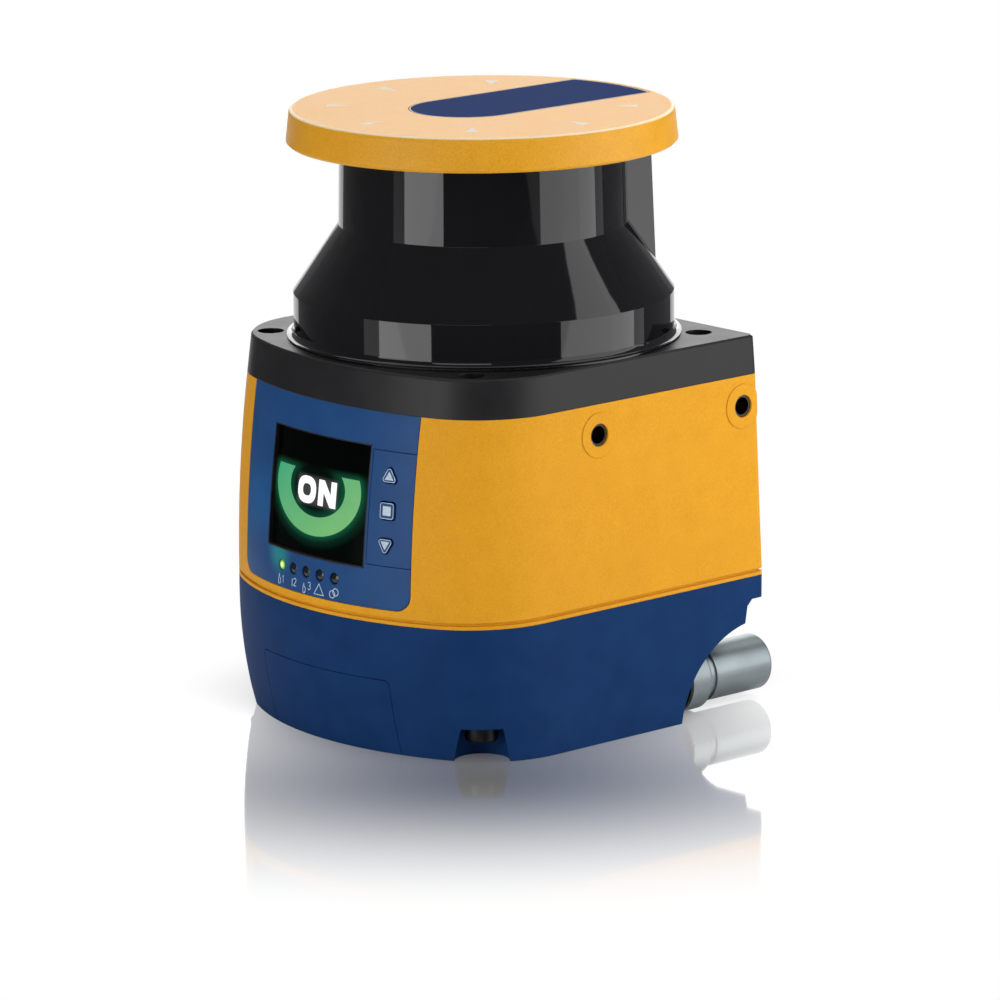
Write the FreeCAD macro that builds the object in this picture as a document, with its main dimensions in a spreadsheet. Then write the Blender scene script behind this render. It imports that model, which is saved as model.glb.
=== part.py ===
"""Compact safety laser scanner: base, housing with display and keys, and a round scan head.

Millimetres, +Z up, front towards -Y. The origin is on the scan axis, in the plane of the base's underside.
"""
import FreeCAD, Part
import Sketcher
import math
import os
import re

os.makedirs("parts", exist_ok=True)
doc = FreeCAD.newDocument("safety_laser_scanner")

# Driving dimensions: name, amount, what it measures
sizes = [
    ("clearance", 0.15, "gap round a piece that is let into another"),
    ("press_play", 0.05, "gap round a piece that is pressed into another"),
    ("seam_height", 33.8, "parting plane between base and housing"),
    ("housing_height", 51.45, "housing from the seam to the top frame"),
    ("frame_height", 9.75, "height of the top frame"),
    ("rear_corner", 2.0, "radius of the two rear vertical edges"),
    ("foot_half_width", 50.6, "half the width at the underside"),
    ("foot_front", 54.0, "front reach at the underside"),
    ("foot_back", 48.0, "rear reach of the base below the seam"),
    ("foot_bow", 80.0, "radius of the bowed front at the underside"),
    ("foot_corner", 25.0, "front corner radius at the underside"),
    ("belly_front", 57.7, "front reach halfway up the base"),
    ("seam_half_width", 51.0, "half the width at the seam"),
    ("seam_front", 58.6, "front reach at the seam"),
    ("seam_back", 48.0, "rear reach at the seam"),
    ("seam_bow", 79.0, "radius of the bowed front at the seam"),
    ("seam_corner", 26.5, "front corner radius at the seam"),
    ("waist_front", 56.5, "front reach halfway up the housing"),
    ("shoulder_half_width", 50.1, "half the width at the shoulder"),
    ("shoulder_front", 52.7, "front reach at the shoulder"),
    ("shoulder_back", 46.6, "rear reach at the shoulder"),
    ("shoulder_bow", 103.0, "radius of the bowed front at the shoulder"),
    ("shoulder_corner", 24.6, "front corner radius at the shoulder"),
    ("deck_half_width", 49.7, "half the width at the deck"),
    ("deck_front", 51.75, "front reach at the deck"),
    ("deck_back", 46.2, "rear reach at the deck"),
    ("deck_bow", 98.0, "radius of the bowed front at the deck"),
    ("deck_corner", 24.6, "front corner radius at the deck"),
    ("base_wall", 3.2, "wall of the base"),
    ("base_floor", 3.0, "floor of the base"),
    ("relief_radius", 26.5, "round relief under the rear of the base"),
    ("relief_back", 46.0, "centre of the relief behind the scan axis"),
    ("relief_drop", 4.0, "centre of the relief below the underside"),
    ("ledge_start", 41.3, "where the relief ends under the rear ledge"),
    ("ledge_step", 42.0, "upright of the step under the rear ledge"),
    ("ledge_slope", 1.6, "bevel of the step under the rear ledge"),
    ("ledge_height", 28.0, "underside of the rear ledge"),
    ("gasket_width", 1.4, "width of the base gasket"),
    ("gasket_depth", 1.0, "thickness of the base gasket"),
    ("gasket_inset", 1.0, "rim outside the base gasket"),
    ("pocket_radius", 6.8, "screw pocket in a front corner of the base, at the underside"),
    ("pocket_roof", 5.6, "screw pocket in a front corner of the base, at its roof"),
    ("pocket_inset", 8.5, "screw pocket from the side at the seam"),
    ("pocket_setback", 19.4, "screw pocket from the front at the seam"),
    ("pocket_height", 8.5, "roof of the screw pocket"),
    ("pocket_wall", 2.2, "wall round the screw pocket"),
    ("base_screw_inset", 10.0, "front base screws from the side"),
    ("base_screw_setback", 20.6, "front base screws from the front"),
    ("rear_screw_inset", 14.0, "rear base screws from the side"),
    ("rear_screw_margin", 12.0, "rear base screws from the back"),
    ("rear_seat_depth", 2.9, "seat of the rear base screws above the relief"),
    ("rear_seat_radius", 4.2, "spot face of the rear base screws"),
    ("screw_column", 4.6, "radius of the columns that take the screws"),
    ("base_boss_depth", 12.0, "depth of the housing's lower screw bosses"),
    ("brace_thickness", 2.4, "brace from a rear lower boss to the side wall"),
    ("screw_radius", 2.0, "shank of the housing screws"),
    ("screw_play", 0.1, "radial play of a shank in its hole"),
    ("screw_head_radius", 3.1, "head of the housing screws"),
    ("screw_head_height", 2.2, "head height of the housing screws"),
    ("screw_dome", 3.7, "radius of the dome on a screw head"),
    ("screw_socket", 1.7, "socket in a screw head, to its corners"),
    ("socket_depth", 1.3, "depth of the socket in a screw head"),
    ("screw_grip", 9.0, "length of thread held in a boss"),
    ("bore_spare", 1.0, "bore beyond the end of a screw"),
    ("cover_middle", 1.85, "middle of the service cover"),
    ("cover_half_width", 23.15, "half the width of the service cover"),
    ("cover_height", 19.3, "top of the service cover"),
    ("cover_corner", 1.6, "upper corner radius of the service cover"),
    ("cover_thickness", 2.0, "thickness of the service cover"),
    ("hatch_half_width", 17.0, "half the width of the opening behind the cover"),
    ("hatch_low", 6.0, "lower edge of the opening behind the cover"),
    ("hatch_margin", 2.3, "opening behind the cover below the cover's top"),
    ("connector_inset", 9.8, "connector axis from the side of the base"),
    ("connector_height", 8.6, "connector axis above the underside"),
    ("connector_stand", 1.3, "seat of the connector behind the relief's wall"),
    ("connector_collar", 8.3, "radius of the connector collar"),
    ("collar_length", 7.0, "connector from its seat to the end of its collar"),
    ("collar_taper", 1.6, "length of the taper after the collar"),
    ("groove_width", 1.6, "groove between the taper and the sleeve"),
    ("groove_radius", 6.6, "radius of the connector in its groove"),
    ("connector_radius", 7.05, "radius of the connector sleeve"),
    ("sleeve_length", 22.3, "connector behind its collar"),
    ("connector_rim", 0.7, "rounding of the connector's outer edge"),
    ("connector_bore", 5.9, "bore of the connector sleeve"),
    ("connector_spigot", 6.6, "radius of the spigot that enters the base"),
    ("spigot_length", 10.0, "length of the spigot"),
    ("connector_recess", 8.0, "depth of the open socket"),
    ("seal_thickness", 1.0, "thickness of the connector seal"),
    ("contact_radius", 0.5, "radius of a contact"),
    ("contact_circle", 2.75, "circle of the contacts"),
    ("contact_length", 6.0, "length of a contact"),
    ("contact_count", 7, "contacts on the circle"),
    ("housing_wall", 3.0, "wall of the housing"),
    ("roof", 3.0, "roof of the housing"),
    ("roof_opening", 36.0, "radius of the opening in the roof"),
    ("lip_height", 0.9, "lip below the shadow groove"),
    ("groove_height", 0.8, "height of the shadow groove"),
    ("groove_depth", 0.7, "depth of the shadow groove"),
    ("frame_screw_inset", 12.1, "frame screws from the side at the shoulder"),
    ("frame_screw_margin", 8.6, "rear frame screws from the back"),
    ("frame_screw_setback", 14.15, "front frame screws from the front"),
    ("frame_boss_depth", 16.0, "depth of the housing's upper screw bosses"),
    ("insert_proud", 0.2, "how far the side bosses stand out of the wall"),
    ("insert_boss", 5.6, "radius of the raised side bosses"),
    ("insert_radius", 2.8, "outside of a threaded insert"),
    ("insert_setback", 0.5, "threaded insert behind the face of its boss"),
    ("insert_bore", 2.2, "bore of a threaded insert"),
    ("insert_length", 8.0, "length of a threaded insert"),
    ("insert_floor", 1.5, "wall behind a threaded insert"),
    ("insert_front", 7.1, "front inserts in front of the axis"),
    ("insert_spacing", 48.2, "distance between two inserts on one side"),
    ("insert_drop", 7.65, "inserts below the top of the housing"),
    ("panel_half_width", 31.2, "half the width of the front panel"),
    ("panel_rise", 3.6, "front panel above the seam"),
    ("panel_corner", 4.0, "lower corner radius of the front panel"),
    ("panel_thickness", 2.2, "thickness of the front panel"),
    ("panel_ledge", 3.2, "ledge of the housing behind the panel's edge"),
    ("display_half_width", 18.3, "half the width of the display opening"),
    ("display_rise", 9.4, "display opening above the panel's lower edge"),
    ("display_drop", 8.15, "display opening below the top of the housing"),
    ("display_depth", 1.2, "how far the display window lies back"),
    ("module_margin", 1.4, "border of the display window beyond the module"),
    ("module_thickness", 3.4, "thickness of the display module"),
    ("board_depth", 6.7, "display board behind the shoulder's front"),
    ("board_thickness", 1.6, "thickness of a circuit board"),
    ("board_margin", 0.7, "gap round the display board"),
    ("board_room", 4.0, "depth of the panel opening behind the board's front"),
    ("post_side", 25.0, "panel posts from the middle plane"),
    ("post_radius", 1.9, "radius of a panel post"),
    ("post_inset", 3.4, "panel posts from the board's edge"),
    ("keypad_left", 19.0, "left edge of the keypad plate"),
    ("keypad_rise", 10.7, "keypad plate above the panel's lower edge"),
    ("keypad_drop", 9.15, "keypad plate below the top of the housing"),
    ("key_side", 24.4, "keys from the middle plane"),
    ("key_offset", 0.4, "middle key below the keypad's middle"),
    ("key_pitch", 8.3, "distance from key to key"),
    ("key_turn", 15.4, "angle by which the keys face outwards"),
    ("key_lean", 6.6, "angle by which the keys lean back"),
    ("key_edge", 4.6, "edge of a triangular key"),
    ("key_corner", 0.6, "corner radius of a key"),
    ("key_square", 4.0, "edge of the square key"),
    ("key_gap", 0.35, "gap round a key"),
    ("key_proud", 0.45, "how far a key stands out"),
    ("key_flange", 2.9, "radius of a key's flange"),
    ("flange_thickness", 0.8, "thickness of a key's flange"),
    ("key_travel", 0.5, "travel of a key"),
    ("switch_edge", 4.0, "edge of a key switch"),
    ("switch_thickness", 1.2, "thickness of a key switch"),
    ("plunger_radius", 1.2, "plunger of a key switch"),
    ("light_radius", 1.45, "radius of a status light"),
    ("light_depth", 0.5, "how far a status light lies back"),
    ("light_first", -11.2, "first status light from the middle plane"),
    ("light_pitch", 5.1, "distance from light to light"),
    ("light_rise", 5.5, "status lights above the panel's lower edge"),
    ("light_count", 5, "number of status lights"),
    ("frame_bevel", 0.5, "bevel round the deck"),
    ("seat_depth", 5.0, "seat of the window seal below the deck"),
    ("window_opening", 45.2, "radius of the seat for the window"),
    ("seat_width", 3.2, "width of the seat for the window"),
    ("frame_screw_hole", 3.3, "visible screw hole in the top frame"),
    ("frame_screw_depth", 6.0, "frame screws below the deck"),
    ("seal_height", 1.0, "thickness of the window seal"),
    ("window_wall", 2.4, "wall of the optical window"),
    ("flange_reach", 1.75, "foot of the window beyond its drum"),
    ("flange_edge", 0.5, "edge of the window's foot"),
    ("flange_sweep", 1.7, "hollow rounding above the window's foot"),
    ("drum_radius", 47.45, "window's lower drum"),
    ("drum_height", 11.1, "lower drum above the deck"),
    ("neck_radius", 35.95, "window's neck at its foot"),
    ("cone_height", 17.0, "cone between drum and neck"),
    ("neck_taper", 0.45, "how much the neck narrows upwards"),
    ("neck_height", 20.4, "height of the neck"),
    ("column_reach", 7.45, "rear column beyond the neck at its foot"),
    ("column_taper", 1.3, "how much the column narrows upwards"),
    ("column_half_width", 24.0, "half the width of the rear column"),
    ("cap_radius", 48.63, "widest radius of the cap"),
    ("cap_height", 8.5, "height of the cap"),
    ("cap_draft", 0.75, "how far the cap's edge leans in"),
    ("cap_rounding", 1.0, "rounding of the cap's upper edge"),
    ("cap_bevel", 0.6, "bevel of the cap's lower edge"),
    ("cap_room", 0.5, "room round the motor flange under the cap"),
    ("label_half_width", 14.25, "half the width of the inlaid label"),
    ("label_front", 5.0, "round end of the label before the axis"),
    ("label_thickness", 0.4, "thickness of the inlaid label"),
    ("label_rim", 1.2, "edge of the cap behind the label"),
    ("carrier_thickness", 2.6, "flange of the optics carrier"),
    ("lens_radius", 27.0, "receiver lens"),
    ("lens_edge", 2.4, "edge thickness of the receiver lens"),
    ("lens_dome", 3.0, "height of the lens's curved side"),
    ("lens_drop", 1.25, "seat of the lens below the top frame"),
    ("lens_ledge", 1.5, "width of the lens seat"),
    ("funnel_wall", 2.2, "wall of the light funnel"),
    ("funnel_gap", 2.4, "detector board above the main board's chips"),
    ("funnel_foot", 2.0, "flange at the lower end of the funnel"),
    ("funnel_foot_radius", 13.0, "radius of the funnel's lower flange"),
    ("diode_radius", 4.2, "photodiode"),
    ("diode_height", 2.6, "height of the photodiode"),
    ("diode_room", 1.0, "straight throat above the photodiode"),
    ("laser_radius", 5.0, "barrel of the laser module"),
    ("laser_reach", 6.6, "barrel above the lens seat"),
    ("laser_flange", 7.2, "flange of the laser module"),
    ("laser_flange_height", 3.0, "flange height of the laser module"),
    ("motor_radius", 20.0, "motor body"),
    ("motor_depth", 15.5, "motor below the top of the window"),
    ("motor_rim", 5.0, "flange of the motor beyond its opening"),
    ("motor_flange_height", 2.0, "thickness of the motor flange"),
    ("motor_play", 1.0, "gap round the motor in the window's top"),
    ("motor_bore", 4.2, "bore of the motor body"),
    ("bearing_radius", 5.5, "outside of a motor bearing"),
    ("bearing_height", 3.0, "width of a motor bearing"),
    ("bearing_play", 0.05, "running play of the shaft"),
    ("shaft_radius", 2.5, "motor shaft"),
    ("shaft_start", 3.5, "lower end of the motor shaft above the beam"),
    ("collar_radius", 4.0, "shoulder of the shaft on the encoder disc"),
    ("collar_gap", 0.5, "gap between the shoulder and the motor"),
    ("beam_rise", 13.5, "scanning beam above the deck"),
    ("hub_radius", 13.0, "mirror hub"),
    ("hub_rise", 14.7, "mirror hub above the beam"),
    ("mirror_thickness", 2.0, "scan mirror"),
    ("disc_radius", 23.0, "encoder disc"),
    ("disc_thickness", 0.8, "thickness of the encoder disc"),
    ("slot_count", 24, "slots in the encoder disc"),
    ("slot_width", 1.6, "width of an encoder slot"),
    ("slot_length", 2.4, "length of an encoder slot"),
    ("slot_edge", 1.2, "rim outside the encoder slots"),
    ("encoder_board_radius", 26.0, "encoder board"),
    ("encoder_board_bore", 8.0, "opening in the encoder board"),
    ("fork_gap", 1.0, "gap of the encoder fork above and below the disc"),
    ("fork_web", 1.6, "web of the encoder fork"),
    ("fork_width", 8.0, "width of the encoder fork"),
    ("fork_depth", 5.0, "how far the fork reaches over the disc"),
    ("stack_side", 25.0, "board spacers from the middle plane"),
    ("stack_front", 30.0, "front board spacers in front of the axis"),
    ("stack_back", 0.0, "rear board spacers behind the axis"),
    ("stack_radius", 2.6, "board spacer"),
    ("interface_height", 12.0, "underside of the interface board"),
    ("interface_half_width", 33.0, "half the width of the interface board"),
    ("interface_front", 43.5, "front edge of the interface board"),
    ("interface_back", 7.0, "rear edge of the interface board"),
    ("main_rise", 4.2, "main board above the seam"),
    ("main_half_width", 30.0, "half the width of the main board"),
    ("main_reach", 38.0, "main board before and behind the axis"),
    ("plug_half_width", 11.0, "half the width of the stacking connector"),
    ("plug_half_depth", 3.0, "half the depth of the stacking connector"),
    ("plug_front", 15.0, "stacking connector in front of the axis"),
    ("chip_height", 1.4, "height of a chip"),
    ("processor_half", 7.0, "half the edge of the processor"),
    ("memory_half", 5.0, "half the edge of the memory"),
    ("driver_half", 4.0, "half the edge of the motor driver"),
    ("supply_half", 6.0, "half the edge of the supply chip"),
    ("port_half_width", 4.6, "half the width of the service port"),
    ("port_depth", 7.5, "depth of the service port"),
    ("port_height", 3.2, "height of the service port"),
]

sheet = doc.addObject("Spreadsheet::Sheet", "Sizes")
for row, (alias, amount, note) in enumerate(sizes, start=1):
    sheet.set(f"A{row}", note)
    sheet.set(f"B{row}", str(amount))
    sheet.setAlias(f"B{row}", alias)
doc.recompute()
aliases = {alias for alias, amount, note in sizes}
nodes = []

# Places worked out from the driving dimensions
places = {
    "shoulder_height": "seam_height + housing_height",
    "deck_height": "shoulder_height + frame_height",
    "drum_top": "deck_height + drum_height",
    "neck_bottom": "drum_top + cone_height",
    "head_height": "neck_bottom + neck_height",
    "cap_top": "head_height + cap_height",
    "pocket_side": "seam_half_width - pocket_inset",
    "pocket_front": "seam_front - pocket_setback",
    "pocket_flare": "(pocket_radius - pocket_roof) * (1 + pocket_wall / pocket_height)",
    "base_screw_side": "seam_half_width - base_screw_inset",
    "base_screw_front": "seam_front - base_screw_setback",
    "rear_screw_side": "seam_half_width - rear_screw_inset",
    "rear_screw_back": "seam_back - rear_screw_margin",
    "relief_roof": "sqrt(relief_radius ^ 2 - (relief_back - rear_screw_back) ^ 2) - relief_drop",
    "rear_seat_height": "relief_roof + rear_seat_depth",
    "hatch_high": "cover_height - hatch_margin",
    "relief_wall": "relief_back - sqrt(relief_radius ^ 2 - (connector_height + relief_drop) ^ 2)",
    "connector_side": "seam_half_width - connector_inset",
    "connector_seat": "relief_wall + connector_stand",
    "frame_screw_side": "shoulder_half_width - frame_screw_inset",
    "frame_screw_front": "deck_front - frame_screw_setback",
    "frame_screw_back": "deck_back - frame_screw_margin",
    "frame_screw_seat": "deck_height - frame_screw_depth",
    "insert_lean": "(shoulder_half_width - seam_half_width) * (1 - insert_drop / housing_height)",
    "insert_face": "seam_half_width + insert_lean + insert_proud",
    "insert_start": "insert_face - insert_setback",
    "insert_height": "shoulder_height - insert_drop",
    "panel_bottom": "seam_height + panel_rise",
    "display_bottom": "panel_bottom + display_rise",
    "display_top": "shoulder_height - display_drop",
    "board_front": "shoulder_front - board_depth",
    "keypad_bottom": "panel_bottom + keypad_rise",
    "keypad_top": "shoulder_height - keypad_drop",
    "key_height": "(keypad_bottom + keypad_top) / 2 - key_offset",
    "light_height": "panel_bottom + light_rise",
    "window_seat": "deck_height - seat_depth",
    "frame_opening": "window_opening - seat_width",
    "flange_radius": "drum_radius + flange_reach",
    "neck_top_radius": "neck_radius - neck_taper",
    "column_radius": "neck_radius + column_reach",
    "column_top_radius": "column_radius - column_taper",
    "lens_seat": "shoulder_height - lens_drop",
    "main_height": "seam_height + main_rise",
    "funnel_end": "main_height + 2 * board_thickness + chip_height + funnel_gap",
    "motor_bottom": "head_height - motor_depth",
    "motor_opening": "motor_radius + motor_play",
    "motor_flange": "motor_opening + motor_rim",
    "beam_height": "deck_height + beam_rise",
    "shaft_bottom": "beam_height + shaft_start",
    "hub_top": "beam_height + hub_rise",
}


# Binding sizes to the sheet

def cells(text):
    """Replace each size name in an expression by its cell, and each place by what it is worked out from."""
    def stand_in(word):
        name = word.group()
        if name in places:
            return f"({cells(places[name])})"
        return f"Sizes.{name}" if name in aliases else name

    return re.sub(r"[a-z][a-z_]*", stand_in, text)


def value(text):
    """Amount of an expression now."""
    result = sheet.evalExpression(cells(text))
    return float(getattr(result, "Value", result))


def bind(item, **fields):
    """Bind properties of an item to expressions."""
    for field, text in fields.items():
        item.setExpression(field, cells(text))


def place(item, spot, turn=None):
    """Turn an item about the origin and bind its place."""
    item.Placement = FreeCAD.Placement(FreeCAD.Vector(), turn or FreeCAD.Rotation())
    for letter, text in zip("xyz", spot):
        item.setExpression(f"Placement.Base.{letter}", cells(text))


def node(item, label):
    """Give an item the name under which it is written out."""
    item.Label = label
    nodes.append(item)
    return item


# Primitives and booleans

directions = {
    "+X": FreeCAD.Rotation(FreeCAD.Vector(0, 1, 0), 90),
    "-X": FreeCAD.Rotation(FreeCAD.Vector(0, 1, 0), -90),
    "+Y": FreeCAD.Rotation(FreeCAD.Vector(1, 0, 0), -90),
    "-Y": FreeCAD.Rotation(FreeCAD.Vector(1, 0, 0), 90),
    "+Z": FreeCAD.Rotation(),
    "-Z": FreeCAD.Rotation(FreeCAD.Vector(1, 0, 0), 180),
}


def cylinder(name, radius, length, spot, direction="+Z"):
    item = doc.addObject("Part::Cylinder", name)
    bind(item, Radius=radius, Height=length)
    place(item, spot, directions[direction])
    return item


def cone(name, low, high, length, spot):
    """Upright cone from a spot, with its radius below and above."""
    item = doc.addObject("Part::Cone", name)
    bind(item, Radius1=low, Radius2=high, Height=length)
    place(item, spot)
    return item


def box(name, extent, corner, turn=None):
    item = doc.addObject("Part::Box", name)
    bind(item, Length=extent[0], Width=extent[1], Height=extent[2])
    place(item, corner, turn)
    return item


def chain(kind, name, base, tools):
    """One boolean after another; the last carries the name."""
    for number, tool in enumerate(tools, start=1):
        item = doc.addObject(kind, name if number == len(tools) else f"{name}Stage{number}_")
        item.Base = base
        item.Tool = tool
        base = item
    return base


def cut(name, base, *tools):
    return chain("Part::Cut", name, base, tools)


def fuse(name, base, *pieces):
    return chain("Part::Fuse", name, base, pieces)


def common(name, base, tool):
    item = doc.addObject("Part::Common", name)
    item.Base = base
    item.Tool = tool
    return item


def group(name, pieces):
    """Several separate solids of one kind."""
    item = doc.addObject("Part::Compound", name)
    item.Links = pieces
    return item


# Sketches

def new_body(name):
    return doc.addObject("PartDesign::Body", name)


def new_sketch(body, name, plane, offset):
    sketch = body.newObject("Sketcher::SketchObject", name)
    support = next(feature for feature in body.Origin.OriginFeatures if feature.Role == plane)
    sketch.AttachmentSupport = [(support, "")]
    sketch.MapMode = "FlatFace"
    sketch.setExpression("AttachmentOffset.Base.z", cells(offset))
    return sketch


def measure(sketch, constraint, text):
    """Add a dimension and bind it."""
    index = sketch.addConstraint(constraint)
    sketch.setExpression(f"Constraints[{index}]", cells(text))


def lock(sketch, edge, end, across, along):
    """Hold a point of an edge at two expressions, measured from the sketch's origin."""
    for kind, axis, text in (("DistanceX", -2, across), ("DistanceY", -1, along)):
        amount = value(text)
        if abs(amount) < 1e-9:
            sketch.addConstraint(Sketcher.Constraint("PointOnObject", edge, end, axis))
        elif amount > 0:
            measure(sketch, Sketcher.Constraint(kind, -1, 1, edge, end, amount), text)
        else:
            measure(sketch, Sketcher.Constraint(kind, edge, end, -1, 1, -amount), f"-({text})")


def arc_between(start, end, radius, side):
    """Minor arc from start to end; side is +1 for a counter-clockwise arc and -1 for a clockwise one."""
    middle = (start + end) / 2
    chord = end - start
    rise = math.sqrt(max(radius ** 2 - (chord.Length / 2) ** 2, 0))
    left = FreeCAD.Vector(-chord.y, chord.x, 0) / chord.Length
    centre = middle + left * rise * side
    first, last = (start, end) if side > 0 else (end, start)
    angles = [math.atan2(point.y - centre.y, point.x - centre.x) for point in (first, last)]
    circle = Part.Circle(centre, FreeCAD.Vector(0, 0, 1), radius)
    return Part.ArcOfCircle(circle, angles[0], angles[1])


def outline(body, name, plane, corners, offset="0"):
    """Closed outline. A corner is (across, along), with (radius, side) added if an arc leaves it."""
    sketch = new_sketch(body, name, plane, offset)
    points = [FreeCAD.Vector(value(corner[0]), value(corner[1]), 0) for corner in corners]
    ends = []
    for number, corner in enumerate(corners):
        start = points[number]
        end = points[(number + 1) % len(points)]
        if len(corner) == 4:
            sketch.addGeometry(arc_between(start, end, value(corner[2]), corner[3]))
            ends.append((1, 2) if corner[3] > 0 else (2, 1))
        else:
            sketch.addGeometry(Part.LineSegment(start, end))
            ends.append((1, 2))
    for number, corner in enumerate(corners):
        following = (number + 1) % len(corners)
        joint = Sketcher.Constraint("Coincident", number, ends[number][1], following, ends[following][0])
        sketch.addConstraint(joint)
    for number, corner in enumerate(corners):
        lock(sketch, number, ends[number][0], corner[0], corner[1])
        if len(corner) == 4:
            measure(sketch, Sketcher.Constraint("Radius", number, value(corner[2])), corner[2])
    return sketch


def circles(body, name, plane, rounds, offset="0"):
    """Circles, each given as (across, along, radius)."""
    sketch = new_sketch(body, name, plane, offset)
    for number, (across, along, radius) in enumerate(rounds):
        centre = FreeCAD.Vector(value(across), value(along), 0)
        sketch.addGeometry(Part.Circle(centre, FreeCAD.Vector(0, 0, 1), value(radius)))
        lock(sketch, number, 3, across, along)
        measure(sketch, Sketcher.Constraint("Radius", number, value(radius)), radius)
    return sketch


def pad(body, sketch, length, inward=False, both=False):
    feature = body.newObject("PartDesign::Pad", f"{sketch.Name}Pad")
    feature.Profile = sketch
    bind(feature, Length=length)
    feature.Reversed = inward
    feature.SideType = "Symmetric" if both else "One side"
    return feature


def pocket(body, sketch, length):
    feature = body.newObject("PartDesign::Pocket", f"{sketch.Name}Pocket")
    feature.Profile = sketch
    bind(feature, Length=length)
    return feature


def revolve(body, sketch, angle="360", both=False):
    feature = body.newObject("PartDesign::Revolution", f"{sketch.Name}Turn")
    feature.Profile = sketch
    feature.ReferenceAxis = (sketch, ["V_Axis"])
    bind(feature, Angle=angle)
    feature.Midplane = both
    return feature


def turned(name, corners, plane="XZ_Plane"):
    """A body turned about the scan axis from its half section."""
    body = new_body(name)
    revolve(body, outline(body, f"{name}Section", plane, corners))
    return body


def loft(body, name, sections, ruled=False):
    feature = body.newObject("PartDesign::AdditiveLoft", name)
    feature.Profile = sections[0]
    feature.Sections = sections[1:]
    feature.Ruled = ruled
    return feature


# The shared form of base, housing and top frame: plan outlines at six levels

def level(name):
    return {
        "half_width": f"{name}_half_width",
        "front": f"{name}_front",
        "back": f"{name}_back",
        "bow": f"{name}_bow",
        "corner": f"{name}_corner",
    }


def between(lower, upper, front):
    """A level halfway between two others, with a front reach of its own."""
    middle = {key: f"({lower}_{key} + {upper}_{key}) / 2" for key in level(lower)}
    middle["front"] = front
    return middle


levels = {
    "foot": level("foot"),
    "belly": between("foot", "seam", "belly_front"),
    "seam": level("seam"),
    "waist": between("seam", "shoulder", "waist_front"),
    "shoulder": level("shoulder"),
    "deck": level("deck"),
}


def plan(body, name, height, form, inset="0"):
    """Plan outline: bowed front, two front corners, straight sides and a straight back."""
    sketch = new_sketch(body, name, "XY_Plane", height)
    text = {key: f"({amount}) - ({inset})" for key, amount in levels[form].items()}
    half, front, back, bow, corner = (
        value(text[key]) for key in ("half_width", "front", "back", "bow", "corner"))
    rear = value("rear_corner")
    bow_centre = FreeCAD.Vector(0, bow - front, 0)
    side = half - corner
    corner_y = bow_centre.y - math.sqrt((bow - corner) ** 2 - side ** 2)
    lean = math.atan2(corner_y - bow_centre.y, side)
    upward = FreeCAD.Vector(0, 0, 1)

    def arc(centre, radius, start, end):
        return Part.ArcOfCircle(Part.Circle(centre, upward, radius), start, end)

    quarter = math.pi / 2
    rear_y = back - rear
    sketch.addGeometry([
        arc(bow_centre, bow, -math.pi - lean, lean),
        arc(FreeCAD.Vector(side, corner_y, 0), corner, lean, 0),
        Part.LineSegment(FreeCAD.Vector(half, corner_y, 0), FreeCAD.Vector(half, rear_y, 0)),
        arc(FreeCAD.Vector(half - rear, rear_y, 0), rear, 0, quarter),
        Part.LineSegment(FreeCAD.Vector(half - rear, back, 0), FreeCAD.Vector(rear - half, back, 0)),
        arc(FreeCAD.Vector(rear - half, rear_y, 0), rear, quarter, 2 * quarter),
        Part.LineSegment(FreeCAD.Vector(-half, rear_y, 0), FreeCAD.Vector(-half, corner_y, 0)),
        arc(FreeCAD.Vector(-side, corner_y, 0), corner, math.pi, math.pi - lean),
    ], False)
    for edge in range(8):
        sketch.addConstraint(Sketcher.Constraint("Tangent", edge, 2, (edge + 1) % 8, 1))
    sketch.addConstraint(Sketcher.Constraint("PointOnObject", 0, 3, -2))
    sketch.addConstraint(Sketcher.Constraint("Vertical", 2))
    sketch.addConstraint(Sketcher.Constraint("Vertical", 6))
    sketch.addConstraint(Sketcher.Constraint("Horizontal", 4))
    sketch.addConstraint(Sketcher.Constraint("Equal", 1, 7))
    sketch.addConstraint(Sketcher.Constraint("Equal", 3, 5))
    measure(sketch, Sketcher.Constraint("Radius", 0, bow), text["bow"])
    measure(sketch, Sketcher.Constraint("Radius", 1, corner), text["corner"])
    measure(sketch, Sketcher.Constraint("Radius", 3, rear), "rear_corner")
    measure(sketch, Sketcher.Constraint("DistanceX", -1, 1, 2, 1, half), text["half_width"])
    measure(sketch, Sketcher.Constraint("DistanceX", 6, 1, -1, 1, half), text["half_width"])
    bow_text = f"({text['bow']}) - ({text['front']})"
    measure(sketch, Sketcher.Constraint("DistanceY", -1, 1, 0, 3, bow - front), bow_text)
    measure(sketch, Sketcher.Constraint("DistanceY", -1, 1, 4, 1, back), text["back"])
    return sketch


def envelope(name, stations, inset="0"):
    """Smooth solid through plan outlines, each given as (height, level)."""
    body = new_body(name)
    sections = [plan(body, f"{name}{form.title()}", height, form, inset) for height, form in stations]
    loft(body, f"{name}Loft", sections)
    return body


def prism(name, corners, reach="2 * seam_front"):
    """Upright outline in X and Z, run out from the scan axis through the front."""
    body = new_body(name)
    pad(body, outline(body, f"{name}Outline", "XZ_Plane", corners), reach)
    return body


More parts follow.
